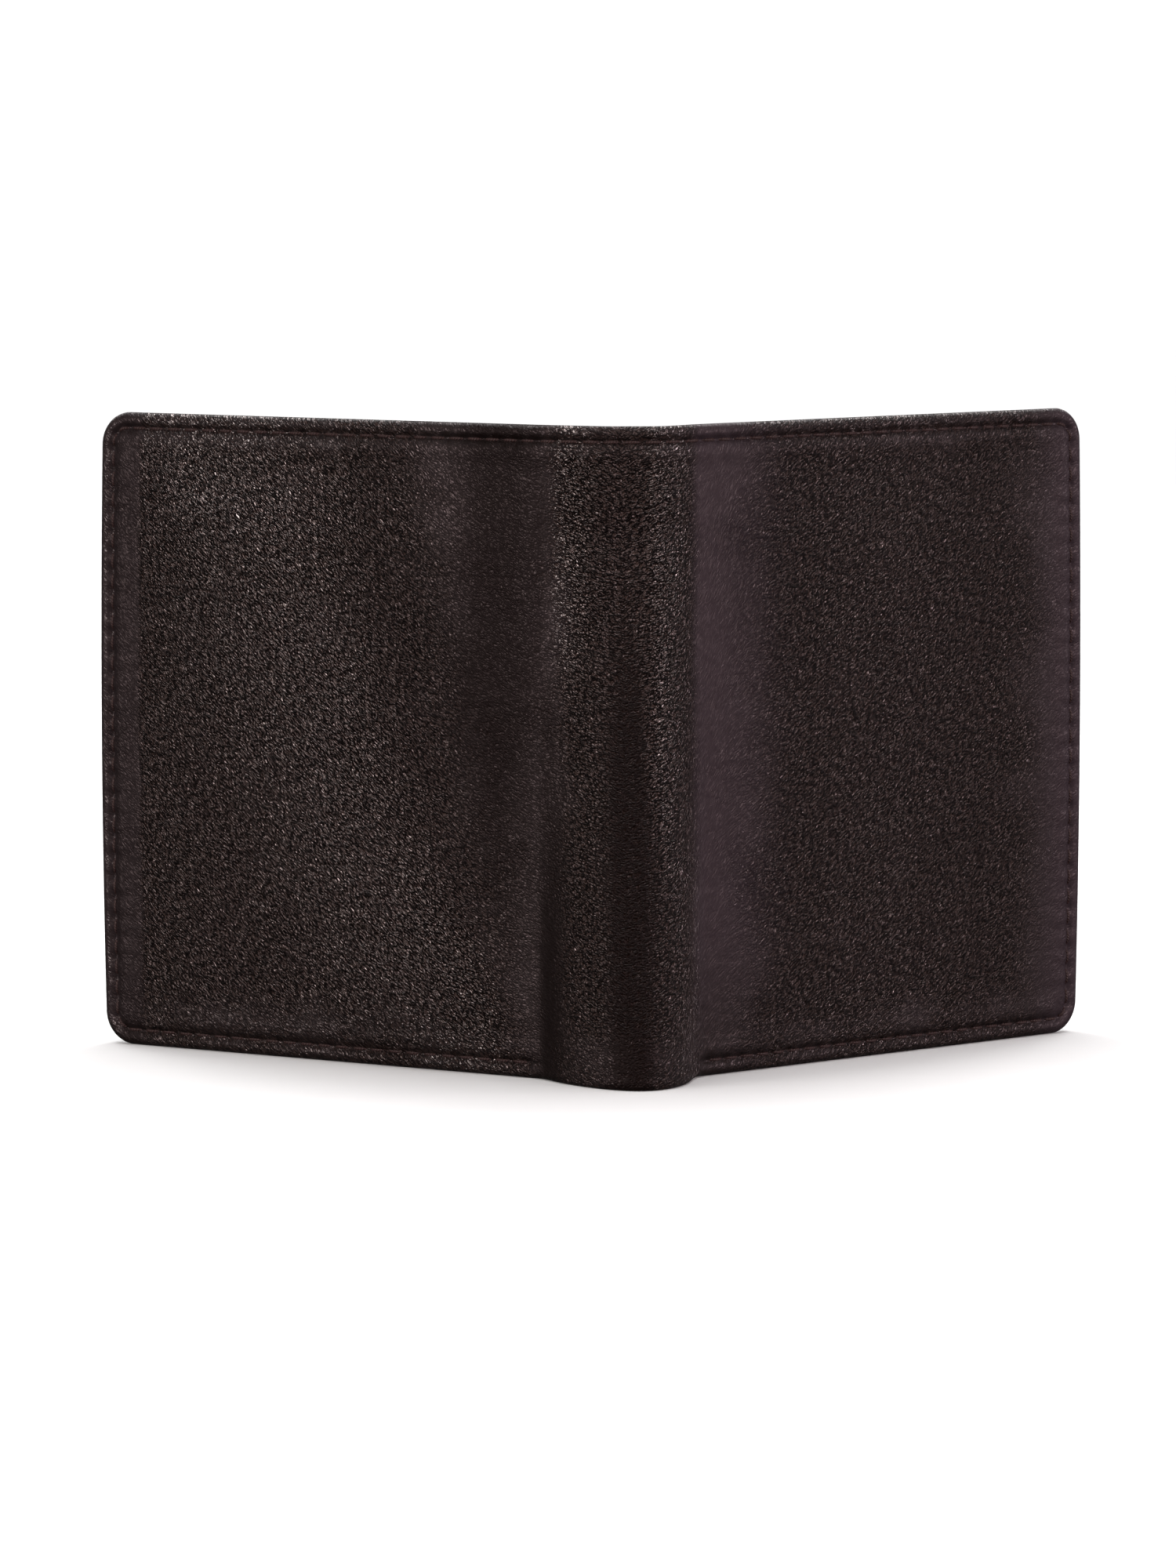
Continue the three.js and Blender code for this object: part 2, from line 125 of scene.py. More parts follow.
CORNER = 5.8 * MM
COVER = 1.2 * MM
HEM_THICKNESS = 2.2 * MM  # at the turned edges of a half
SPINE_HEM_THICKNESS = 1.7 * MM  # the turned edges are thinned on the spine
HEM_WIDTH = 6 * MM
SEAM = 2.8 * MM
STITCH = 3.7 * MM
STITCH_GAP = 0.06  # share of a stitch's length that is left free at each end
THREAD_RADIUS = 0.3 * MM
THREAD_SIDES = 8
THREAD_TAPER = 0.35  # share of its radius that a stitch loses at its ends
THREAD_LIFT = -0.12 * MM  # of the middle of a stitch over the leather
THREAD_DIVE = 0.75 * MM  # how much deeper its ends go
SEAM_END = 1.5 * MM  # the bottom seams stop this short of the creases

ARCH_SKEW = 1.35  # above 1, the spine rises gently on the left and falls steeply on the right
FOOT_SQUARENESS = 0.45  # above 0, the spine's foot is flatter than an arch, with steeper sides
VALLEY_DEPTH = 1.5 * MM
VALLEY_X = 2 * MM
VALLEY_WIDTH = 4.5 * MM
CREASE_SOFTNESS = {LEFT: 2.4 * MM, RIGHT: 0.7 * MM}
FOOT_SOFTNESS = {LEFT: 0.9 * MM, RIGHT: 0.7 * MM}
CREASE_REACH = {LEFT: 5 * MM, RIGHT: 3.5 * MM}  # each side of a crease, where the leather bends
CROWN = {LEFT: 1.1 * MM, RIGHT: 0.5 * MM}
BILLOW = 1.2 * MM  # of the soft ridge that runs down the left half
KINK_DEPTH = 0.45 * MM  # of the shallow dent across the spine
KINK_HEIGHT = 0.84 * HEIGHT

GRID = 0.6 * MM
WELD = 0.001 * MM  # points nearer than this become one
JOIN_COLUMNS = np.array((0.04, 0.12, 0.28)) * MM
EDGE_RINGS = MM * np.array(
    (0, 0.06, 0.2, 0.42, 0.75, 1.1, 1.5, 1.9, 2.2, 2.5, 2.8, 3.1, 3.4, 3.8, 4.3, 4.9)
)


def smoothstep(low, high, x):
    """0 at low and 1 at high, with a smooth rise between. low may be above high."""
    t = np.clip((x - low) / (high - low), 0, 1)
    return t * t * (3 - 2 * t)


def bell(x, middle, width):
    return np.exp(-(((x - middle) / width) ** 2))


def step_mm(low, high, x):
    return smoothstep(low * MM, high * MM, x)


def bell_mm(x, middle, width):
    return bell(x, middle * MM, width * MM)


def unit(vectors):
    return vectors / np.linalg.norm(vectors, axis=-1, keepdims=True)


def spine_depth(x, z):
    """How far the spine leather stands out in front of the creases."""
    across = np.clip((x + HALF_SPINE) / (2 * HALF_SPINE), 0, 1)
    bulge = BULGE_BOTTOM + (BULGE_TOP - BULGE_BOTTOM) * z / HEIGHT
    valley = VALLEY_DEPTH * smoothstep(0.1, 0.75, z / HEIGHT) * bell(x, VALLEY_X, VALLEY_WIDTH)
    exponent = 1 - FOOT_SQUARENESS * smoothstep(0.8, 0.1, z / HEIGHT)
    arch = np.clip(np.sin(np.pi * across**ARCH_SKEW), 0, 1)
    return bulge * arch**exponent - valley


def sharp_face(side, u, z):
    """The cover's outer face before its creases are softened. u is less than 0 on the spine."""
    on_half = half_point(side, np.maximum(u, 0), 0, z)
    x = side * (HALF_SPINE + np.minimum(u, 0))
    on_spine = np.stack(np.broadcast_arrays(x, CREASE_Y - spine_depth(x, z), z), axis=-1)
    return np.where((u >= 0)[..., None], on_half, on_spine)


def soft_face(side, u, z):
    at_foot = smoothstep(0.7, 0.15, z / HEIGHT)
    softness = CREASE_SOFTNESS[side] + (FOOT_SOFTNESS[side] - CREASE_SOFTNESS[side]) * at_foot
    spread = softness * bell(u, 0, 2.5 * softness)
    taps = np.linspace(-2, 2, 9)
    weights = bell(taps, 0, 1.4)
    total = sum(weight * sharp_face(side, u + tap * spread, z) for tap, weight in zip(taps, weights))
    return total / weights.sum()


def cover_point(side, u, z, depth):
    """The point that lies depth inside the cover's outer face."""
    step = 0.05 * MM
    across = soft_face(side, u + step, z) - soft_face(side, u - step, z)
    upward = soft_face(side, u, z + step) - soft_face(side, u, z - step)
    outward = unit(side * np.cross(across, upward))
    return soft_face(side, u, z) - np.asarray(depth)[..., None] * outward


class Outline(NamedTuple):
    """A sheet's rectangle on a half, with the radii of its outer corners. u runs out from the crease."""

    start: float
    end: float
    bottom: float
    top: float
    corner: float
    top_corner: float
    two_sided: bool  # False where the sheet goes on past its start


COVER_OUTLINE = Outline(-HALF_SPINE, PANEL, 0, HEIGHT, CORNER, CORNER, False)


def inner_outline(inset, drop):
    """A layer inside the cover, inset from its edge, with its mouth drop under the cover's top."""
    corner = max(CORNER - inset, MM)
    top_corner = max(CORNER - drop, MM)
    return Outline(-HALF_SPINE, PANEL - inset, inset, HEIGHT - drop, corner, top_corner, False)


def edge_inset(outline, u, z):
    """How far a point of the unrounded sheet is from its nearest edge."""
    inset = np.minimum(outline.end - u, np.minimum(z - outline.bottom, outline.top - z))
    return np.minimum(inset, u - outline.start) if outline.two_sided else inset


def round_corners(outline, u, z):
    """Moves points of a square-cornered sheet onto one with round corners and a bowed side."""
    inner = (u < (outline.start + outline.end) / 2) & outline.two_sided
    from_side = np.where(inner, u - outline.start, outline.end - u)
    upper = z > (outline.bottom + outline.top) / 2
    from_end = np.where(upper, outline.top - z, z - outline.bottom)
    corner = np.where(upper, outline.top_corner, outline.corner)
    inset = np.minimum(from_side, from_end)
    radius = np.maximum(corner - inset, 1e-9)
    in_corner = (from_side < corner) & (from_end < corner)
    angle = math.pi / 4 * (1 + np.minimum(np.abs(from_side - from_end) / radius, 1))
    near = corner - radius * np.sin(angle)
    far = corner - radius * np.cos(angle)
    on_side = from_side < from_end
    from_side, from_end = (
        np.where(in_corner, np.where(on_side, near, far), from_side),
        np.where(in_corner, np.where(on_side, far, near), from_end),
    )
    z = np.where(upper, outline.top - from_end, outline.bottom + from_end)
    bow = SIDE_BOW * 4 * z / HEIGHT * (1 - z / HEIGHT) * (not outline.two_sided)
    bow = bow * smoothstep(0.3 * PANEL, PANEL, u)
    return np.where(inner, outline.start + from_side, outline.end - from_side + bow), z


SEAM_TOP = HALF_SPINE + PANEL - SEAM
SEAM_SIDE = HEIGHT - 2 * SEAM
SEAM_BOTTOM = PANEL - SEAM - SEAM_END


def seam_distance(u, z):
    """Length along the seam from the top of the spine's middle, outwards, down the side and back."""
    from_side = PANEL - u
    on_side = from_side < np.minimum(z, HEIGHT - z)
    top = u + HALF_SPINE
    down = SEAM_TOP + HEIGHT - SEAM - z
    back = SEAM_TOP + SEAM_SIDE + from_side - SEAM
    return np.where(on_side, down, np.where(z > HEIGHT / 2, top, back))


def seam_here(u, z):
    """1 where the seam runs, and 0 along the bottom of the spine, where there is none."""
    bottom = z < np.minimum(PANEL - u, HEIGHT - z)
    return np.where(bottom, smoothstep(0, 2 * SEAM_END, u), 1)


def relief(side, u, z):
    """Height of the cover's outer face over its smooth shape, from its seam, crown and creases."""
    inset = edge_inset(COVER_OUTLINE, u, z)
    phase = np.cos(2 * np.pi * seam_distance(u, z) / STITCH)
    pull = seam_here(u, z)
    groove = -(0.42 + 0.16 * phase) * MM * bell(inset, SEAM, 0.55 * MM)
    scallop = -0.12 * MM * (0.5 + 0.5 * phase) * bell(inset, SEAM, 1.3 * MM)
    roll = 0.12 * MM * bell_mm(inset, 1.5, 0.5) * (1 - 0.3 * phase)
    cushion = 0.22 * MM * bell_mm(inset, 5, 1.6) * (1 - 0.25 * phase)
    from_side = np.minimum(PANEL - u, HEIGHT - z)
    crown = CROWN[side] * step_mm(0, 22, from_side) * step_mm(0, 12, z)
    crown = crown * step_mm(-2, 25, u)
    kink = -KINK_DEPTH * bell(z, KINK_HEIGHT, 4 * MM) * step_mm(2, -4, u)
    height = z / HEIGHT
    if side == RIGHT:
        pinch = 0.45 * MM * bell_mm(u, 0.9, 0.7) * smoothstep(0.75, 0.25, height)
        drift = 5 * height + 2 * np.sin(9 * height) + np.sin(u / (1.1 * MM))
        waves = 0.03 * MM * np.sin(u / (0.26 * MM) + drift) * bell_mm(u, 6, 3.2)
        billow = 0
    else:
        pinch = 0.25 * MM * bell_mm(u, 3, 4) * smoothstep(0, 0.4, height)
        waves = 0.03 * MM * np.sin(u / (0.9 * MM) - 9 * height) * bell_mm(u, 7, 4)
        billow = BILLOW * bell_mm(u - 0.47 * z, 23, 14) * step_mm(0, 20, inset)
    waves = waves * step_mm(0, 9, inset)
    return pull * (groove + scallop + cushion) + roll + crown + kink + pinch + waves + billow


def spine_share(u):
    """1 on the spine and 0 on a half, with a soft step at the crease."""
    return step_mm(4, -4, u)


def hem_thickness(u):
    return HEM_THICKNESS + (SPINE_HEM_THICKNESS - HEM_THICKNESS) * spine_share(u)


def rolled(inset, thickness):
    """Depth of the outer face where it rolls over the edge, down to the middle of the thickness."""
    radius = thickness / 2
    sine = np.clip(1 - inset / radius, 0, 1)
    return radius * (1 - np.sqrt(1 - sine**2))


def ring_positions(low, high, rings_at_low, rings, spacing):
    """Grid lines between two ends, crowded where the rings of an edge run."""
    start = low + rings[-1] * rings_at_low
    end = high - rings[-1]
    middle = np.linspace(start, end, round((end - start) / spacing) + 1)
    before = low + rings[:-1] if rings_at_low else []
    return np.concatenate((before, middle, high - rings[:-1][::-1]))


def sheet_grid(outline, rings, spacing):
    """The u and z of a sheet's unrounded points, with close columns where it meets its twin."""
    u = ring_positions(outline.start, outline.end, outline.two_sided, rings, spacing)
    if not outline.two_sided:
        u = np.concatenate((u[:1], outline.start + JOIN_COLUMNS, u[1:]))
    z = ring_positions(outline.bottom, outline.top, True, rings, spacing)
    return np.meshgrid(u, z, indexing="ij")


# ---------- making meshes ----------


def add_object(name, mesh, smooth=True):
    mesh.name = name
    if smooth:
        mesh.shade_smooth()
    piece = bpy.data.objects.new(name, mesh)
    bpy.context.scene.collection.objects.link(piece)
    return piece


def mesh_from(points, faces):
    mesh = bpy.data.meshes.new("mesh")
    mesh.from_pydata(np.asarray(points).reshape(-1, 3).tolist(), [], faces)
    mesh.update()
    return mesh


def grid_faces(ids):
    """The faces between neighbours in a grid of point numbers."""
    corners = (ids[:-1, :-1], ids[1:, :-1], ids[1:, 1:], ids[:-1, 1:])
    return np.stack(corners, axis=-1).reshape(-1, 4).tolist()


def ring_faces(rings, sides, first=0):
    """The faces between rings of points that follow each other."""
    ids = first + np.arange(rings * sides).reshape(rings, sides)
    return grid_faces(np.hstack((ids, ids[:, :1])).T)


@contextmanager
def reshaping(mesh):
    """The mesh in a form that can be edited. It is written back at the end."""
    shape = bmesh.new()
    shape.from_mesh(mesh)
    yield shape
    shape.to_mesh(mesh)
    shape.free()


def map_points(mesh, name, coordinates):
    """Stores pairs of lengths as a UV map in millimetres. A sheet's second face repeats its first."""
    layer = mesh.uv_layers.new(name=name)
    corners = np.empty(len(mesh.loops), np.int32)
    mesh.loops.foreach_get("vertex_index", corners)
    coordinates = np.resize(coordinates, (len(mesh.vertices), 2)) / MM
    layer.data.foreach_set("uv", coordinates[corners].astype(np.float32).ravel())


def store_share(mesh, name, values):
    """Stores one number per vertex. A sheet's second face repeats its first."""
    attribute = mesh.attributes.new(name, "FLOAT", "POINT")
    values = np.resize(values, len(mesh.vertices))
    attribute.data.foreach_set("value", values.astype(np.float32))


def two_faced_sheet(front_points, back_points, flip, two_sided=False):
    """A closed sheet from two grids of points, which share their edges except an open sheet's start."""
    columns, rows = front_points.shape[:2]
    front = np.arange(columns * rows).reshape(columns, rows)
    back = front + columns * rows
    back[-1, :] = front[-1, :]
    back[:, 0] = front[:, 0]
    back[:, -1] = front[:, -1]
    if two_sided:
        back[0, :] = front[0, :]
    faces = grid_faces(front) + grid_faces(back.T)
    if not two_sided:
        faces += grid_faces(np.stack((front[0], back[0]), axis=1))
    faces = [tuple(dict.fromkeys(face)) for face in faces]
    faces = [face[::-1] if flip else face for face in faces if len(face) > 2]
    points = np.concatenate((front_points.reshape(-1, 3), back_points.reshape(-1, 3)))
    mesh = mesh_from(points, faces)
    if not two_sided:
        ends = np.empty(2 * len(mesh.edges), np.int32)
        mesh.edges.foreach_get("vertices", ends)
        at_start = ends.reshape(-1, 2) % (columns * rows) < rows
        mesh.edges.foreach_set("use_edge_sharp", at_start.all(axis=1))
    return mesh


def drop_spare_points(mesh):
    """Deletes the points of the second grid that the shared edges left unused."""
    with reshaping(mesh) as shape:
        loose = [vertex for vertex in shape.verts if not vertex.link_faces]
        bmesh.ops.delete(shape, geom=loose, context="VERTS")


def dress(piece, finish, *nodes, body=None):
    """Gives a piece its finish, hides the CAD nodes that it stands for, and hangs it on the body that it
    rides on.
    """
    piece.data.materials.append(finish())
    if nodes:
        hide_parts(*nodes)
    if body:
        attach(piece, body)
    return piece


def paint(node, finish):
    """Gives a CAD node that stays in view its finish."""
    mesh = cad_mesh(node)
    mesh.materials.clear()
    mesh.materials.append(finish())


# ---------- cover leather ----------


def smooth_share(side, u, z):
    """1 where the leather is smooth, and 0 where its grain is full."""
    edge = step_mm(8, 4, edge_inset(COVER_OUTLINE, u, z))
    border = 0.4 * np.maximum(edge, step_mm(13, 6, z))
    if side == LEFT:
        valley = step_mm(16, -8, u - 0.2 * z) * step_mm(-7, 1, u)
        strip = step_mm(10, 8, PANEL - u)
        return np.maximum.reduce((border, 0.75 * valley, 0.7 * strip))
    outer = step_mm(68, 90, u)
    crease = step_mm(24, 2, u) * step_mm(-2, 2, u)
    return np.maximum(border, 0.8 * np.maximum(crease, outer))


def painted_sheen_share(side, u, z):
    """1 where a purple-grey sheen is painted into the colour: on the right half's outer side and beside
    its crease, and faintly on the left half's outer strip.
    """
    if side == LEFT:
        return 0.2 * step_mm(10, 7, PANEL - u) * step_mm(0, 6, z)
    outer = step_mm(79, 93, u)
    crease = step_mm(26, 2, u) * step_mm(-1.5, 1, u)
    return np.maximum(outer, 0.8 * crease * step_mm(2, 30, z))


def gloss_and_shade_share(side, u, z):
    """Above 0 where the leather is burnished and gets a glossier coat, and below 0 where shade is
    painted in: a darker colour and a weaker reflection.
    """
    height = z / HEIGHT
    x = side * (HALF_SPINE + u)
    left_shoulder = 1.2 * bell_mm(x, -9.5, 3.6) * smoothstep(0.35, 0.85, height)
    crest = (8.3 + 4.5 * smoothstep(0.5, 0.2, height)) * MM
    right_shoulder = 1.5 * bell(x, crest, 3.4 * MM)
    # painted shade: a dark band down the middle of the spine, strongest low down
    hollow = 1.2 * bell_mm(x, 1, 4.5) * smoothstep(0.9, 0.4, height)
    gloss_and_shade = (left_shoulder + right_shoulder - hollow) * step_mm(1.5, -1.5, u)
    if side == LEFT:
        middle = 70 * MM * (0.03 + 0.95 * height) ** 0.6
        sweep = (0.75 + 0.35 * smoothstep(0.5, 0.2, height)) * bell(u, middle, 18 * MM)
        upper = 0.6 + 0.4 * smoothstep(0.3, 0.6, height)
        # painted shade: the valley beside the left crease, the crease itself higher up, and the strip
        # along the outer edge are painted darker
        valley = bell_mm(u, 9, 10) * smoothstep(0.05, 0.35, height) * upper
        crease = 0.8 * bell_mm(u, -1, 3) * smoothstep(0.75, 0.55, height)
        outer = 0.3 * step_mm(25, 45, u)
        strip = 0.9 * step_mm(10, 8, PANEL - u) * smoothstep(SEAM, SEAM + MM, PANEL - u)
        gloss_and_shade = gloss_and_shade + (sweep + outer) * step_mm(4, 14, u) * (1 - strip)
        return gloss_and_shade - np.maximum(valley, crease) - 0.6 * strip
    return gloss_and_shade + 0.35 * bell_mm(u, 42, 22)


def wrinkle_lines(side, across, z):
    """Coordinates along and across the leather's wrinkles, which fan out from the spine's middle."""
    u = across - HALF_SPINE
    fan = step_mm(-4, 40, u)
    if side == LEFT:
        slope = 0.3 + 0.5 * fan
    else:
        slope = 0.3 + 0.4 * fan + 1.5 * bell_mm(u, 7, 7)
    rise = np.cumsum(slope * np.gradient(across, axis=0), axis=0)
    return np.stack((side * across, z - rise), axis=-1)


def cover_sheet(side):
    """The cover leather from the middle of the spine to one outer edge."""
    u, z = sheet_grid(COVER_OUTLINE, EDGE_RINGS, GRID)
    thickness = hem_thickness(u)
    inset = edge_inset(COVER_OUTLINE, u, z)
    roll = rolled(inset, thickness)
    hem_end = smoothstep(HEM_WIDTH - 0.4 * MM, HEM_WIDTH + 0.4 * MM, inset)
    inner_depth = thickness - roll - (thickness - COVER) * hem_end
    round_u, round_z = round_corners(COVER_OUTLINE, u, z)
    height = relief(side, u, z) * step_mm(0, 0.6, inset)
    outer = cover_point(side, round_u, round_z, roll - height)
    inner = cover_point(side, round_u, round_z, inner_depth)
    mesh = two_faced_sheet(outer, inner, flip=side == RIGHT)

    widths = np.linalg.norm(np.diff(cover_point(side, round_u, round_z, 0 * u), axis=0), axis=-1)
    across = np.concatenate((np.zeros((1, u.shape[1])), np.cumsum(widths, axis=0)))
    map_points(mesh, "hide", np.stack((side * across, round_z), axis=-1))
    map_points(mesh, "wrinkles", wrinkle_lines(side, across, round_z))
    for name, share in (("smooth", smooth_share), ("painted_sheen", painted_sheen_share), ("gloss_and_shade", gloss_and_shade_share)):
        store_share(mesh, name, share(side, u, z))
    drop_spare_points(mesh)
    return add_object(f"cover_leather_{SIDES[side]}", mesh)


# ---------- stitches ----------


def stitch_row(name, count, surface):
    """A row of stitches. surface gives points and outward directions at lengths along the row."""
    steps = np.linspace(0, 1, 9)
    turn = np.linspace(0, 2 * np.pi, THREAD_SIDES, endpoint=False)
    cosine = np.cos(turn)[:, None]
    sine = np.sin(turn)[:, None]
    dive = np.abs(2 * steps - 1) ** 3
    radius = (THREAD_RADIUS * (1 - THREAD_TAPER * dive))[:, None, None]
    points = []
    faces = []
    lengths = []
    for stitch in range(count):
        run = (stitch + STITCH_GAP + (1 - 2 * STITCH_GAP) * steps) * STITCH
        ground, outward = surface(run)
        middle = ground + (THREAD_LIFT - THREAD_DIVE * dive)[:, None] * outward
        forward = unit(np.gradient(middle, axis=0))
        sideways = unit(np.cross(forward, outward))
        upright = np.cross(sideways, forward)
        ring = cosine * sideways[:, None] + sine * upright[:, None]
        base = stitch * len(steps) * THREAD_SIDES
        points.append(middle[:, None] + radius * ring)
        lengths.append(np.stack(np.broadcast_arrays(run[:, None], THREAD_RADIUS * turn[None]), axis=-1))
        faces += ring_faces(len(steps), THREAD_SIDES, base)
        last = base + (len(steps) - 1) * THREAD_SIDES
        faces.append(tuple(base + j for j in reversed(range(THREAD_SIDES))))
        faces.append(tuple(last + j for j in range(THREAD_SIDES)))
    mesh = mesh_from(np.array(points), faces)
    map_points(mesh, "hide", np.array(lengths))
    return dress(add_object(name, mesh), seam_thread)


def outside_seam(side):
    """The seam round a side of the cover, from the middle of the spine's top to the crease's foot."""

    def surface(run):
        down = np.clip(run - SEAM_TOP, 0, SEAM_SIDE)
        back = np.maximum(run - SEAM_TOP - SEAM_SIDE, 0)
        u = np.minimum(run, SEAM_TOP) - HALF_SPINE - back
        z = HEIGHT - SEAM - down
        round_u, round_z = round_corners(COVER_OUTLINE, u, z)
        raised = 0.45 * relief(side, u, z)
        ground = cover_point(side, round_u, round_z, -raised)
        return ground, (ground - cover_point(side, round_u, round_z, MM - raised)) / MM

    count = int((SEAM_TOP + SEAM_SIDE + SEAM_BOTTOM) / STITCH)
    return stitch_row(f"seam_thread_{SIDES[side]}", count, surface)


# ---------- layers that cross the creases ----------

LAYER_RINGS = np.array((0, 0.05, 0.15, 0.3, 0.6, 1.2, 1.6, 2.0, 2.6)) * MM
LAYER_GRID = 2 * MM
LINING_ON_SPINE = 1.95 * MM  # depth of the lining behind the spine's outer face
DIVIDER_ON_SPINE = 1.7 * MM  # how far the divider stands out in front of the creases
WALL_ON_SPINE = 1.0 * MM
BRIDGE_START = -9 * MM  # a layer leaves the spine here
BRIDGE_END = 3 * MM  # and reaches its half here
LAYER_BEND = (HALF_SPINE - 11 * MM, HALF_SPINE - 0.8 * MM)  # from the middle of the spine


def layer_depths(node, side):
    low, high = extent(node, side)
    return float(low[1]), float(high[1])


def lining_place(side):
    near = layer_depths(f"lining_{SIDES[side]}", side)[0]

    def place(u, z, depth):
        return cover_point(side, u, z, near + (LINING_ON_SPINE - near) * spine_share(u) + depth)

    return place


def crossing_place(side, node, in_front):
    """A layer that runs straight on the spine, in_front of the creases, and bends over to its half."""
    near = layer_depths(node, side)[0]
    along = axes(side)[0]

    def place(u, z, depth):
        x = side * (HALF_SPINE + np.minimum(u, BRIDGE_START))
        y = CREASE_Y - in_front + depth
        on_spine = np.stack(np.broadcast_arrays(x, y, z), axis=-1)
        on_half = half_point(side, np.maximum(u, BRIDGE_END), near + depth, z)
        length = BRIDGE_END - BRIDGE_START
        share = np.clip((u - BRIDGE_START) / length, 0, 1)[..., None]
        leave = length * np.array((side, 0, 0))
        arrive = length * along
        return (
            (2 * share**3 - 3 * share**2 + 1) * on_spine
            + (share**3 - 2 * share**2 + share) * leave
            + (3 * share**2 - 2 * share**3) * on_half
            + (share**3 - share**2) * arrive
        )

    return place


def layer_sheet(side, name, outline, place, thickness, height=None):
    """A closed layer. place gives points at a depth from its outer face. height raises its inner one."""
    u, z = sheet_grid(outline, LAYER_RINGS, LAYER_GRID)
    inset = edge_inset(outline, u, z)
    roll = rolled(inset, thickness)
    round_u, round_z = round_corners(outline, u, z)
    raised = height(u, z) * step_mm(0, 0.3, inset) if height else 0
    near = place(round_u, round_z, roll)
    far = place(round_u, round_z, thickness - roll + raised)
    mesh = two_faced_sheet(near, far, side == RIGHT, outline.two_sided)
    map_points(mesh, "hide", np.stack((side * round_u, round_z), axis=-1))
    store_share(mesh, "worn", step_mm(0.9, 0.1, inset))
    drop_spare_points(mesh)
    return add_object(name, mesh)


def mouth_line(outline):
    """The creased line just under the mouth of a pocket or compartment, with a slight bead over it."""

    def height(u, z):
        below = outline.top - z
        return -0.16 * MM * bell_mm(below, 1.8, 0.3) + 0.1 * MM * bell_mm(below, 0.8, 0.5)

    return height


def crossing_sheet(side, layer, kind, finish, outline, place, height=None):
    """A layer that passes a crease, and stands for its CAD nodes on the half and on the spine."""
    node = f"{layer}_{SIDES[side]}"
    near, far = layer_depths(node, side)
    piece = layer_sheet(side, f"{layer}_{kind}_{SIDES[side]}", outline, place, far - near, height)
    return dress(piece, finish, node, f"{layer}_spine")


def add_crossing_layers(side):
    """The lining, the divider and the inner wall of a half, from the middle of the spine outwards."""
    name = SIDES[side]
    outline = inner_outline(inset=3.6 * MM, drop=3.6 * MM)
    lining = crossing_sheet(side, "lining", "cloth", lining_cloth, outline, lining_place(side))
    bend_at_crease(lining, side)
    outline = inner_outline(inset=1.6 * MM, drop=4 * MM)
    place = crossing_place(side, f"divider_{name}", DIVIDER_ON_SPINE)
    divider = crossing_sheet(side, "divider", "leaf", lining_cloth, outline, place)
    outline = inner_outline(inset=0.8 * MM, drop=5 * MM)
    place = crossing_place(side, f"inner_wall_{name}", WALL_ON_SPINE)
    height = mouth_line(outline)
    wall = crossing_sheet(side, "inner_wall", "leather", inner_leather, outline, place, height)
    for piece in (divider, wall):
        bend_from(piece, side, *LAYER_BEND)


# ---------- pockets ----------

POCKET_START = 3 * MM
ROW_INSET = 1.8 * MM  # from a pocket's edge to its stitches


def pocket_plate(side, node, name, corner=0.6 * MM, face=mouth_line):
    """A flat leather piece for a CAD node of a half, with rolled edges and a line under its mouth."""
    low, high = extent(node, side)
    outline = Outline(low[0], high[0], low[2], high[2], corner, corner, True)

    def place(u, z, depth):
        return half_point(side, u, low[1] + depth, z)

    piece = layer_sheet(side, name, outline, place, high[1] - low[1], face(outline))
    dress(piece, inner_leather, node, body=BODY[side])


def softened_copy(side, node, name):
    """The shape of a CAD node with its edges rounded."""
    mesh = cad_mesh(node).copy()
    mesh.materials.clear()
    with reshaping(mesh) as shape:
        bmesh.ops.remove_doubles(shape, verts=shape.verts, dist=WELD)
        flat = math.radians(1)
        bmesh.ops.dissolve_limit(shape, angle_limit=flat, verts=shape.verts, edges=shape.edges)
        sharp = [edge for edge in shape.edges if edge.calc_face_angle(0) > math.radians(50)]
        bmesh.ops.bevel(shape, geom=sharp, offset=0.22 * MM, segments=3, profile=0.5, affect="EDGES")
        bmesh.ops.triangulate(shape, faces=[face for face in shape.faces if len(face.verts) > 4])
    for layer in list(mesh.uv_layers):
        mesh.uv_layers.remove(layer)
    places = half_place(side, points_of(mesh))
    map_points(mesh, "hide", places[:, (0, 2)] * (side, 1))
    store_share(mesh, "worn", 0)
    dress(add_object(name, mesh, smooth=False), inner_leather, node, body=BODY[side])


def front_depth(side, nodes, u, z):
    """Depth of the frontmost of some flat pieces at each point."""
    depth = np.full(np.broadcast(u, z).shape, layer_depths(f"inner_wall_{SIDES[side]}", side)[1])
    for node in nodes:
        low, high = extent(node, side)
        inside = (u >= low[0]) & (u <= high[0]) & (z >= low[2]) & (z <= high[2])
        depth = np.where(inside, np.maximum(depth, high[1]), depth)
    return depth


def straight_row(side, name, nodes, start, end, over=0):
    """Stitches in a straight line over the frontmost pieces of a half, between two points (u, z)."""
    start, end = np.array((start, end))
    length = np.linalg.norm(end - start)
    inward = axes(side)[1]

    def surface(run):
        u, z = (start + run[:, None] / length * (end - start)).T
        ground = half_point(side, u, front_depth(side, nodes, u, z).max() + over, z)
        return ground, np.broadcast_to(inward, ground.shape)

    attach(stitch_row(name, int(length / STITCH), surface), BODY[side])


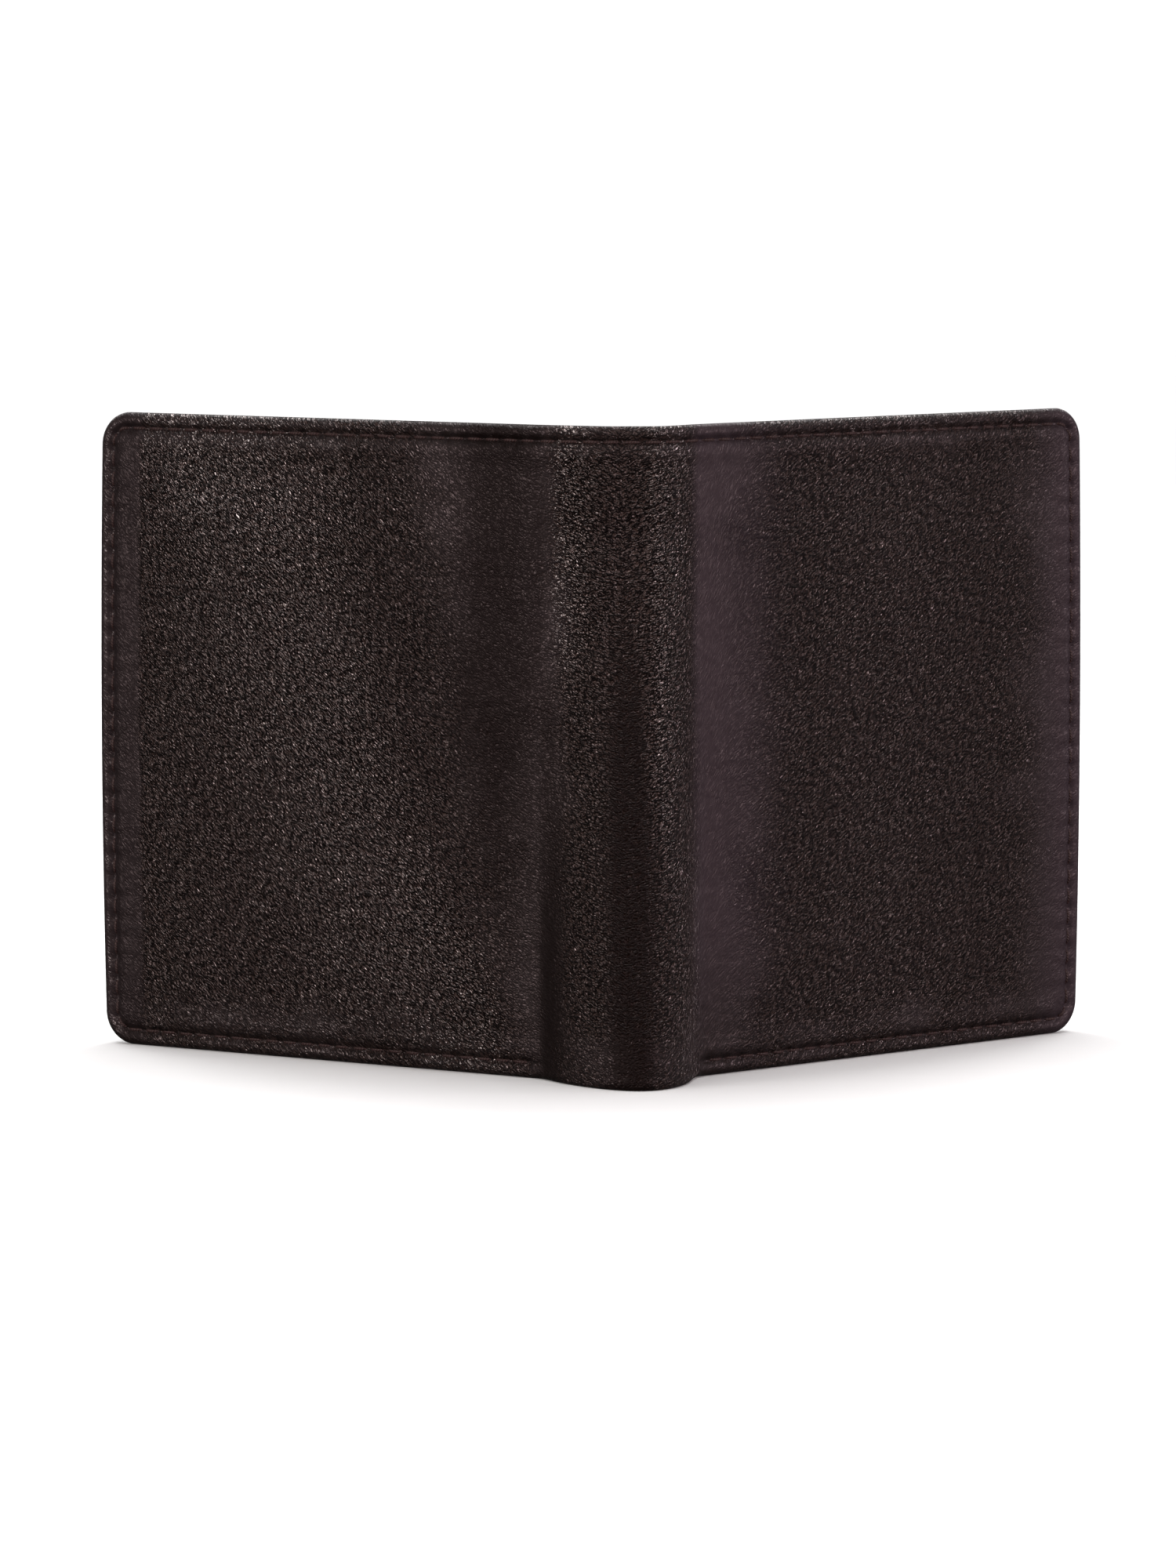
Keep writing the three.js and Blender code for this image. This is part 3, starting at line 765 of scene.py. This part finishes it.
def pocket_stitching(side, nodes):
    """The rows along a half's pockets at both sides and the bottom, and along the inner wall's edge."""
    name = SIDES[side]
    inner = POCKET_START + ROW_INSET
    outer = PANEL - POCKET_START - ROW_INSET
    top = extent(nodes[0], side)[1][2]
    bottom = ROW_INSET + 1.6 * MM
    edge = PANEL - 1.7 * MM
    rows = {
        "inner": ((inner, top), (inner, bottom)),
        "outer": ((outer, top), (outer, bottom)),
        "bottom": ((inner, bottom), (outer, bottom)),
        "edge": ((edge, HEIGHT - 9 * MM), (edge, 6 * MM)),
    }
    for label, (start, end) in rows.items():
        straight_row(side, f"pocket_thread_{name}_{label}", nodes, start, end)


def add_card_slots(side, count):
    """The overlapping strips of a half's card slots."""
    name = SIDES[side]
    numbers = range(1, count + 1)
    for number in numbers:
        pocket_plate(side, f"card_slot_{name}_{number}", f"card_slot_strip_{name}_{number}")
    return [f"card_slot_{name}_{number}" for number in numbers]


def add_left_pockets():
    nodes = add_card_slots(LEFT, 3)
    softened_copy(LEFT, "window_frame", "window_pocket_frame")
    paint("window_film", clear_film)
    pocket_stitching(LEFT, nodes + ["window_frame"])


def puffed(outline):
    """The domed front of the coin pocket, held down at its edges, with a line under its mouth."""
    line = mouth_line(outline)

    def height(u, z):
        inset = edge_inset(outline, u, z)
        dome = 0.5 * MM * step_mm(2, 16, inset)
        return line(u, z) + dome - 0.2 * MM * bell_mm(inset, 2, 0.6)

    return height


def add_right_pockets():
    nodes = add_card_slots(RIGHT, 2)
    pocket_plate(RIGHT, "coin_pocket_base", "coin_pocket_back")
    softened_copy(RIGHT, "coin_pocket_gusset", "coin_pocket_folds")
    pocket_plate(RIGHT, "coin_flap_anchor", "coin_flap_strip")
    pocket_plate(RIGHT, "coin_pocket_front", "coin_pocket_panel", MM, puffed)
    pocket_stitching(RIGHT, nodes + ["coin_pocket_base", "coin_pocket_front"])


# ---------- coin flap and its press stud ----------

hinge = np.array(joints["coin_flap_lift"]["pos_m"])
HINGE_DEPTH = float(half_place(RIGHT, hinge)[1])
HINGE_HEIGHT = float(hinge[2])
FLAP_TILT = math.radians(7)
FLAP_THICKNESS = 0.8 * MM
FLAP_CORNER = 9 * MM
FLAP_SEAM = 2 * MM
LATHE_SIDES = 64


def flap_place():
    """The flap leather, sewn to its strip at the top and bent out over the press stud below."""
    strip_front = layer_depths("coin_flap_anchor", RIGHT)[1]
    slope = math.tan(FLAP_TILT)

    def place(u, z, depth):
        hanging = HINGE_DEPTH - FLAP_THICKNESS + (HINGE_HEIGHT - z) * slope
        share = smoothstep(HINGE_HEIGHT + 3.4 * MM, HINGE_HEIGHT - MM, z)
        near = strip_front + (hanging - strip_front) * share
        return half_point(RIGHT, u, near + depth, z)

    return place


def add_flap():
    low, high = extent("coin_flap", RIGHT)
    top = float(extent("coin_flap_anchor", RIGHT)[1][2]) - 0.3 * MM
    outline = Outline(low[0], high[0], low[2], top, FLAP_CORNER, MM, True)
    place = flap_place()

    def height(u, z):
        inset = edge_inset(outline, u, z)
        line = -0.2 * MM * bell(inset, FLAP_SEAM, 0.5 * MM) * (z < HINGE_HEIGHT)
        return line + 0.1 * MM * bell_mm(inset, 0.9, 0.6)

    flap = layer_sheet(RIGHT, "coin_flap_leather", outline, place, FLAP_THICKNESS, height)
    dress(flap, inner_leather, "coin_flap")

    start = outline.start + FLAP_SEAM
    end = outline.end - FLAP_SEAM
    side_length = HINGE_HEIGHT - outline.bottom - FLAP_SEAM

    def surface(run):
        u = np.clip(start + run - side_length, start, end)
        down = np.minimum(run, side_length)
        up = np.maximum(run - side_length - (end - start), 0)
        round_u, round_z = round_corners(outline, u, HINGE_HEIGHT - down + up)
        ground = place(round_u, round_z, FLAP_THICKNESS)
        return ground, unit(ground - place(round_u, round_z, FLAP_THICKNESS - MM))

    count = int((2 * side_length + end - start) / STITCH)
    thread = stitch_row("coin_flap_thread", count, surface)
    for piece in (flap, thread):
        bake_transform(piece)
    z = HINGE_HEIGHT + 3.6 * MM
    ends = ((outline.start + 2 * MM, z), (outline.end - 2 * MM, z))
    straight_row(RIGHT, "coin_flap_thread_strip", ["coin_flap_anchor"], *ends, FLAP_THICKNESS)


def lathe(node, axis, profile, body):
    """A turned piece for a CAD node. profile is (radius, height) from its foot, in millimetres."""
    lowest = (points_of(cad_mesh(node)) @ axis).min()
    middle = np.sum(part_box(node), axis=0) / 2
    foot = middle + (lowest - middle @ axis) * axis
    across = unit(np.cross(axis, UP))
    other = np.cross(axis, across)
    turn = np.linspace(0, 2 * np.pi, LATHE_SIDES, endpoint=False)
    ring = np.cos(turn)[:, None] * across + np.sin(turn)[:, None] * other
    rings = [foot + MM * (height * axis + radius * ring) for radius, height in profile]
    mesh = mesh_from(np.array(rings), ring_faces(len(rings), LATHE_SIDES))
    with reshaping(mesh) as shape:
        bmesh.ops.remove_doubles(shape, verts=shape.verts, dist=WELD)
        bmesh.ops.recalc_face_normals(shape, faces=shape.faces)
    dress(add_object(f"{node}_brass", mesh), antique_brass, node, body=body)


def add_press_stud():
    inward = axes(RIGHT)[1]
    out_of_flap = inward * math.cos(FLAP_TILT) + UP * math.sin(FLAP_TILT)
    post = 1.4
    cap = 6
    under = 1.3  # from the post's end to the cap's underside
    cap_profile = [
        (0, 0), (post, 0), (post, under), (cap - 0.35, under), (cap - 0.08, under + 0.1),
        (cap, under + 0.3), (cap - 0.15, under + 0.5), (0.88 * cap, under + 0.52),
        (0.84 * cap, under + 0.42), (0.78 * cap, under + 0.6), (0.6 * cap, under + 0.78),
        (0.35 * cap, under + 0.87), (0, under + 0.9),
    ]
    lathe("press_stud_cap", out_of_flap, cap_profile, "coin_flap")
    bore = 2.2
    rim = 4.2
    socket_profile = [
        (bore, 0.1), (bore + 0.15, 0), (rim - 1.4, 0), (rim - 1.1, 0.15), (rim - 0.4, 0.1),
        (rim - 0.1, 0.25), (rim, 0.45), (rim, 0.9), (rim - 0.1, 1), (bore, 1), (bore, 0.1),
    ]
    lathe("press_stud_socket", out_of_flap, socket_profile, "coin_flap")
    ball_profile = [
        (0, 0), (rim - 0.1, 0), (rim, 0.12), (rim - 0.12, 0.4), (rim - 0.5, 0.5), (1.75, 0.5),
        (1.5, 0.65), (1.6, 1), (1.88, 1.3), (1.8, 1.6), (1.3, 1.85), (0, 1.9),
    ]
    lathe("press_stud_ball", inward, ball_profile, "right_half")
    paint("press_stud_eyelet", antique_brass)


# ---------- materials ----------


class Finish:
    """A material under construction: each add makes a node, and a socket given as an input is linked."""

    def __init__(self, name):
        self.material = bpy.data.materials.new(name)
        self.material.use_nodes = True
        self.tree = self.material.node_tree

    def fill(self, node, inputs):
        for key, value in inputs.items():
            socket = node.inputs[key]
            if isinstance(value, bpy.types.NodeSocket):
                self.tree.links.new(value, socket)
            else:
                socket.default_value = value

    def done(self, **inputs):
        """The material, with its surface set: base_color stands for the socket Base Color, and so on."""
        sockets = {name.replace("_", " ").title().replace("Ior", "IOR"): inputs[name] for name in inputs}
        self.fill(self.tree.nodes["Principled BSDF"], sockets)
        return self.material

    def add(self, kind, inputs=None, output=0, **settings):
        node = self.tree.nodes.new(kind)
        for key, value in settings.items():
            setattr(node, key, value)
        self.fill(node, inputs or {})
        return node.outputs[output]

    def flat(self, name="hide"):
        """Where a point lies on the flat leather, cloth or thread, in millimetres."""
        return self.add("ShaderNodeUVMap", uv_map=name)

    def solid(self):
        """Where a point lies in space, in metres."""
        return self.add("ShaderNodeTexCoord", output=3)

    def stored(self, name):
        """A number that the piece stores at its points."""
        return self.add("ShaderNodeAttribute", attribute_name=name, output=2)

    def math(self, operation, first, second):
        return self.add("ShaderNodeMath", {0: first, 1: second}, operation=operation)

    def vector(self, operation, first, second):
        return self.add("ShaderNodeVectorMath", {0: first, 1: second}, operation=operation)

    def plus(self, first, second, share):
        return self.math("ADD", first, self.math("MULTIPLY", second, share))

    def spread(self, value, low, high, to_low=0.0, to_high=1.0):
        """value from low to high, turned smoothly into to_low to to_high."""
        inputs = {"Value": value, "From Min": low, "From Max": high, "To Min": to_low, "To Max": to_high}
        return self.add("ShaderNodeMapRange", inputs, interpolation_type="SMOOTHSTEP")

    def mix(self, share, first, second):
        """One colour or the other. A colour is given as red, green and blue."""
        colours = {6: first, 7: second}
        for key, colour in colours.items():
            if isinstance(colour, tuple):
                colours[key] = (*colour, 1)
        return self.add("ShaderNodeMix", {0: share, **colours}, output=2, data_type="RGBA")

    def noise(self, where, scale, detail=2.0, output=0):
        inputs = {"Vector": where, "Scale": scale, "Detail": detail, "Roughness": 0.55}
        return self.add("ShaderNodeTexNoise", inputs, output=output, noise_dimensions="2D")

    def cloud(self, where, scale, detail):
        """Noise through a solid."""
        return self.add("ShaderNodeTexNoise", {"Vector": where, "Scale": scale, "Detail": detail})

    def cells(self, where, scale):
        """Distance from the edges of irregular cells, 0 on the edges."""
        inputs = {"Vector": where, "Scale": scale}
        settings = {"voronoi_dimensions": "2D", "feature": "DISTANCE_TO_EDGE"}
        return self.add("ShaderNodeTexVoronoi", inputs, **settings)

    def bands(self, where, scale, distortion=0.0, direction="X"):
        inputs = {"Vector": where, "Scale": scale, "Distortion": distortion}
        return self.add("ShaderNodeTexWave", inputs, bands_direction=direction)

    def stretched(self, where, across, up):
        return self.add("ShaderNodeMapping", {"Vector": where, "Scale": (across, up, 1)})

    def turned(self, where, degrees):
        inputs = {"Vector": where, "Rotation": (0, 0, math.radians(degrees))}
        return self.add("ShaderNodeMapping", inputs)

    def bump(self, height, distance, strength=1.0):
        inputs = {"Strength": strength, "Distance": distance, "Height": height}
        return self.add("ShaderNodeBump", inputs)


@cache
def cover_leather():
    """Dark brown pebbled leather, smoother where it is stretched, with painted sheen and painted shade
    in its colour.
    """
    finish = Finish("cover_leather")
    hide = finish.flat()
    warp = finish.vector("MULTIPLY", finish.noise(hide, 0.5, 2, output=1), (0.9, 0.9, 0))
    lines = finish.vector("ADD", finish.flat("wrinkles"), warp)
    blotch = finish.noise(hide, 0.07, 3)
    patchy = finish.plus(finish.stored("smooth"), finish.math("SUBTRACT", blotch, 0.5), 0.9)
    grain_share = finish.spread(patchy, 0, 0.8, 1, 0.2)
    even = finish.math("SUBTRACT", 1, grain_share)

    pebbles = finish.spread(finish.cells(finish.stretched(lines, 0.75, 1.05), 2.1), 0, 0.38)
    creases = finish.spread(finish.cells(finish.stretched(lines, 0.45, 1), 1.3), 0, 0.25)
    strokes = finish.spread(finish.noise(finish.stretched(lines, 0.5, 1.05), 1.9, 1.5), 0.36, 0.66)
    grain = finish.plus(finish.plus(finish.math("MULTIPLY", pebbles, 0.4), strokes, 0.35), creases, 0.25)
    height = finish.plus(finish.math("MULTIPLY", grain, grain_share), finish.noise(hide, 0.28), 0.8)
    bump = finish.bump(height, 0.26 * MM)

    gloss_and_shade = finish.stored("gloss_and_shade")
    tops = finish.spread(grain, 0.3, 0.85)
    colour = finish.mix(blotch, (0.030, 0.0165, 0.0132), (0.040, 0.0228, 0.0188))
    # painted shade and highlight: the grain's crevices are painted near black and the pebble tops stay
    # lighter, standing for the shade in the crevices and the sheen on the tops
    colour = finish.mix(tops, (0.0012, 0.0005, 0.0004), colour)
    colour = finish.mix(even, colour, (0.0060, 0.0040, 0.0038))
    # painted sheen: a paler purple-grey colour stands for the sheen on the right half's outer side and
    # beside its crease
    colour = finish.mix(finish.stored("painted_sheen"), colour, (0.028, 0.0185, 0.0235))
    # painted shade: where the stored value is below 0, the colour is painted near black
    colour = finish.mix(finish.spread(gloss_and_shade, 0, -1, 0, 0.8), colour, (0.0030, 0.0011, 0.0008))
    # painted shade: the crevices also get a dark specular tint, so they reflect far less than the pebble
    # tops
    mirror = finish.mix(tops, (0.08, 0.06, 0.06), (1, 0.81, 0.81))
    mirror = finish.mix(even, mirror, (0.52, 0.4, 0.41))
    # painted shade: the same places also get a dark specular tint
    mirror = finish.mix(finish.spread(gloss_and_shade, 0, -1), mirror, (0.2, 0.15, 0.15))
    coat = finish.math("MULTIPLY", finish.spread(gloss_and_shade, 0, 1), finish.spread(tops, 0, 0.9))
    return finish.done(
        base_color=colour,
        roughness=finish.plus(finish.spread(tops, 0, 1, 0.5, 0.2), even, 0.16),
        normal=bump,
        specular_tint=mirror,
        specular_ior_level=0.68,
        coat_weight=coat,
        coat_normal=bump,
        coat_roughness=0.2,
        coat_tint=(1, 0.84, 0.79, 1),
        coat_ior=1.62,
    )


@cache
def seam_thread():
    """Dark red-brown twisted thread."""
    finish = Finish("seam_thread")
    slant = finish.turned(finish.flat(), 35)
    plies = finish.bands(slant, 0.9, 0.3)
    fibres = finish.noise(finish.stretched(slant, 2, 14), 1)
    return finish.done(
        base_color=finish.mix(plies, (0.014, 0.0045, 0.004), (0.045, 0.013, 0.011)),
        roughness=finish.spread(fibres, 0.2, 0.8, 0.5, 0.75),
        normal=finish.bump(finish.plus(plies, fibres, 0.4), 0.08 * MM, 0.8),
    )


@cache
def inner_leather():
    """Finer, flatter leather for the inside, rubbed a little lighter along its edges."""
    finish = Finish("inner_leather")
    hide = finish.flat()
    bent = finish.vector("ADD", hide, finish.noise(hide, 0.4, output=1))
    pebbles = finish.spread(finish.cells(bent, 1.9), 0, 0.3)
    specks = finish.noise(hide, 4, 3)
    brown = finish.mix(finish.noise(hide, 0.09, 3), (0.017, 0.0085, 0.0065), (0.025, 0.013, 0.010))
    rubbed = finish.math("MULTIPLY", finish.stored("worn"), finish.spread(specks, 0.35, 0.6, 0.3, 0.9))
    return finish.done(
        base_color=finish.mix(rubbed, brown, (0.045, 0.024, 0.018)),
        roughness=finish.spread(pebbles, 0, 1, 0.6, 0.42),
        normal=finish.bump(finish.plus(finish.math("MULTIPLY", pebbles, 0.6), specks, 0.3), 0.08 * MM),
    )


@cache
def lining_cloth():
    """Dark twill."""
    finish = Finish("lining_cloth")
    hide = finish.flat()
    twill = finish.bands(finish.turned(hide, 60), 0.8, 0.4)
    weft = finish.bands(hide, 1.3, direction="Y")
    fuzz = finish.noise(hide, 3, 3)
    raised = finish.math("MULTIPLY", twill, fuzz)
    return finish.done(
        base_color=finish.mix(raised, (0.008, 0.0065, 0.0065), (0.028, 0.023, 0.023)),
        roughness=finish.spread(fuzz, 0.2, 0.8, 0.75, 0.95),
        normal=finish.bump(finish.plus(finish.plus(twill, weft, 0.5), fuzz, 0.4), 0.05 * MM),
        sheen_weight=0.15,
    )


@cache
def fibre_board():
    """Pressed fibre board with flecks."""
    finish = Finish("fibre_board")
    flecks = finish.noise(finish.stretched(finish.solid(), 900, 300), 1, 3)
    colour = finish.mix(flecks, (0.05, 0.035, 0.024), (0.13, 0.1, 0.075))
    return finish.done(base_color=colour, roughness=0.9, normal=finish.bump(flecks, 0.03 * MM, 0.6))


@cache
def clear_film():
    """Soft clear plastic, slightly rippled and scuffed."""
    finish = Finish("clear_film")
    where = finish.solid()
    return finish.done(
        base_color=(0.93, 0.95, 0.96, 1),
        roughness=finish.spread(finish.cloud(where, 900, 3), 0.4, 0.75, 0.06, 0.22),
        normal=finish.bump(finish.cloud(where, 90, 2), 0.1 * MM, 0.5),
        transmission_weight=1,
        ior=1.48,
    )


@cache
def antique_brass():
    """Dulled brass with brown patina and fine scratches."""
    finish = Finish("antique_brass")
    where = finish.solid()
    patina = finish.cloud(where, 420, 4)
    scratches = finish.cloud(finish.stretched(where, 6000, 600), 1, 2)
    return finish.done(
        base_color=finish.mix(finish.spread(patina, 0.4, 0.65), (0.4, 0.26, 0.1), (0.13, 0.08, 0.035)),
        roughness=finish.spread(patina, 0.35, 0.7, 0.22, 0.45),
        normal=finish.bump(scratches, 0.01 * MM, 0.4),
        metallic=1,
    )


# ---------- the studio ----------

CAMERA_AZIMUTH = -4.789
CAMERA_ELEVATION = 5.974
CAMERA_DISTANCE = 1.2219
CAMERA_AIM = Vector((-5.576 * MM, CREASE_Y, 52.193 * MM))
LENS = 160.34  # on a 36 mm sensor

COVE_DISTANCE = 1.7
COVE_CURVE = 0.7
COVE_HEIGHT = 2.2

WALLET_MIDDLE = (0, 0, 0.06)
LIGHT_DISTANCE = 1.5
WHITE = (1, 1, 1)
WARM = (1, 0.94, 0.92)
SOFTBOXES = {  # azimuth and elevation in degrees, width and height in metres, watts and colour
    "back_left": (-150, 30, 0.5, 0.4, 4.5, WHITE),
    "back_right": (145, 30, 0.5, 0.4, 4.5, WHITE),
    "left": (-67, 12, 0.45, 0.3, 5.6, WARM),
    "left_low": (-64, 3, 0.3, 0.16, 2.1, WARM),
    "left_shoulder": (-57, 10, 0.15, 0.3, 2.5, WARM),
    "front_left": (-42, 16, 0.2, 0.3, 3.2, WARM),
    "front": (0, 32, 0.3, 0.3, 2.8, (1, 0.93, 0.88)),
    "front_right": (30, 15, 0.2, 0.3, 6.6, (1, 0.89, 0.9)),
    "right": (76, 12, 0.3, 0.3, 1.5, (1, 0.84, 0.92)),
    "shoulder": (56, 8, 0.15, 0.3, 4.2, (1, 0.88, 0.9)),
    "edge": (91, 8, 0.15, 0.3, 3.2, (1, 0.87, 0.92)),
}


def direction(azimuth, elevation):
    """Away from the wallet. The azimuth runs from its front towards its right, in degrees."""
    azimuth = math.radians(azimuth)
    elevation = math.radians(elevation)
    reach = math.cos(elevation)
    return Vector((reach * math.sin(azimuth), -reach * math.cos(azimuth), math.sin(elevation)))


def aim(thing, name, place, target):
    """Puts a camera or a light in the scene, pointed at its target."""
    placed = bpy.data.objects.new(name, thing)
    placed.location = place
    placed.rotation_euler = (Vector(target) - Vector(place)).to_track_quat("-Z", "Y").to_euler()
    bpy.context.scene.collection.objects.link(placed)
    return placed


def add_camera():
    """At the photograph's viewing angle: slightly above, and a little to the left of straight on."""
    data = bpy.data.cameras.new("camera")
    data.sensor_width = 36
    data.lens = LENS
    data.clip_start = 0.05
    data.clip_end = 50
    place = CAMERA_AIM + CAMERA_DISTANCE * direction(CAMERA_AZIMUTH, CAMERA_ELEVATION)
    bpy.context.scene.camera = aim(data, "camera", place, CAMERA_AIM)


def add_soft_light(name, place, target, width, height, watts, colour=WHITE):
    data = bpy.data.lights.new(name, "AREA")
    data.shape = "RECTANGLE"
    data.size = width
    data.size_y = height
    data.energy = watts
    data.color = colour
    aim(data, name, place, target)


def add_floor():
    """A pale round floor that curves up into a low wall behind the wallet."""
    arc = np.linspace(0, math.pi / 2, 13)
    wall = COVE_DISTANCE + COVE_CURVE
    reach = np.concatenate(((0, 0.5, 1.2), COVE_DISTANCE + COVE_CURVE * np.sin(arc), (wall,)))
    rise = np.concatenate(((0, 0, 0), COVE_CURVE * (1 - np.cos(arc)), (COVE_HEIGHT,)))
    turn = np.linspace(0, 2 * np.pi, 73)
    behind = smoothstep(-0.3, 0.3, np.sin(turn))
    height = rise[:, None] * behind
    points = np.stack((reach[:, None] * np.cos(turn), reach[:, None] * np.sin(turn), height), axis=-1)
    ids = np.arange(points[..., 0].size).reshape(points.shape[:2])
    floor = add_object("floor", mesh_from(points, grid_faces(ids)))
    finish = Finish("floor_paint")
    mottle = finish.noise(finish.solid(), 60.0, 3.0)
    colour = finish.mix(mottle, (0.9, 0.9, 0.9), (0.92, 0.92, 0.92))
    floor.data.materials.append(finish.done(base_color=colour, roughness=0.8, specular_ior_level=0.1))
    floor.visible_glossy = False
    floor.visible_diffuse = False


def add_studio():
    scene = bpy.context.scene
    scene.view_settings.view_transform = "Standard"
    world = bpy.data.worlds.new("studio")
    world.use_nodes = True
    background = world.node_tree.nodes["Background"]
    background.inputs["Color"].default_value = (1, 1, 1, 1)
    background.inputs["Strength"].default_value = 0.06
    scene.world = world
    add_soft_light("top_softbox", (0, 0.2, 1.35), WALLET_MIDDLE, 1.3, 1.0, 18.5)
    add_soft_light("backdrop_light", (0, 0.9, 1.7), (0, 2.4, 0.3), 2.4, 0.6, 41)
    for name, (azimuth, elevation, *look) in SOFTBOXES.items():
        place = Vector(WALLET_MIDDLE) + LIGHT_DISTANCE * direction(azimuth, elevation)
        add_soft_light(f"{name}_softbox", place, WALLET_MIDDLE, *look)


# ---------- the wallet ----------


def bend_from(piece, side, start, end):
    """Bakes a piece's placement into its points. The side and the two distances from the middle of the
    spine are not used.
    """
    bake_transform(piece)


def bend_at_crease(piece, side):
    bend_from(piece, side, HALF_SPINE - CREASE_REACH[side], HALF_SPINE + CREASE_REACH[side])


def dress_side(side):
    """The cover of a half with its seam and board, and the layers behind it."""
    name = SIDES[side]
    cover = dress(cover_sheet(side), cover_leather, f"cover_{name}", "cover_spine")
    thread = outside_seam(side)
    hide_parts(f"thread_{name}", "thread_spine")
    for piece in (cover, thread):
        bend_at_crease(piece, side)
    paint(f"cover_board_{name}", fibre_board)
    add_crossing_layers(side)


add_camera()
add_floor()
add_studio()
for half in SIDES:
    dress_side(half)
add_left_pockets()
add_right_pockets()
add_flap()
add_press_stud()
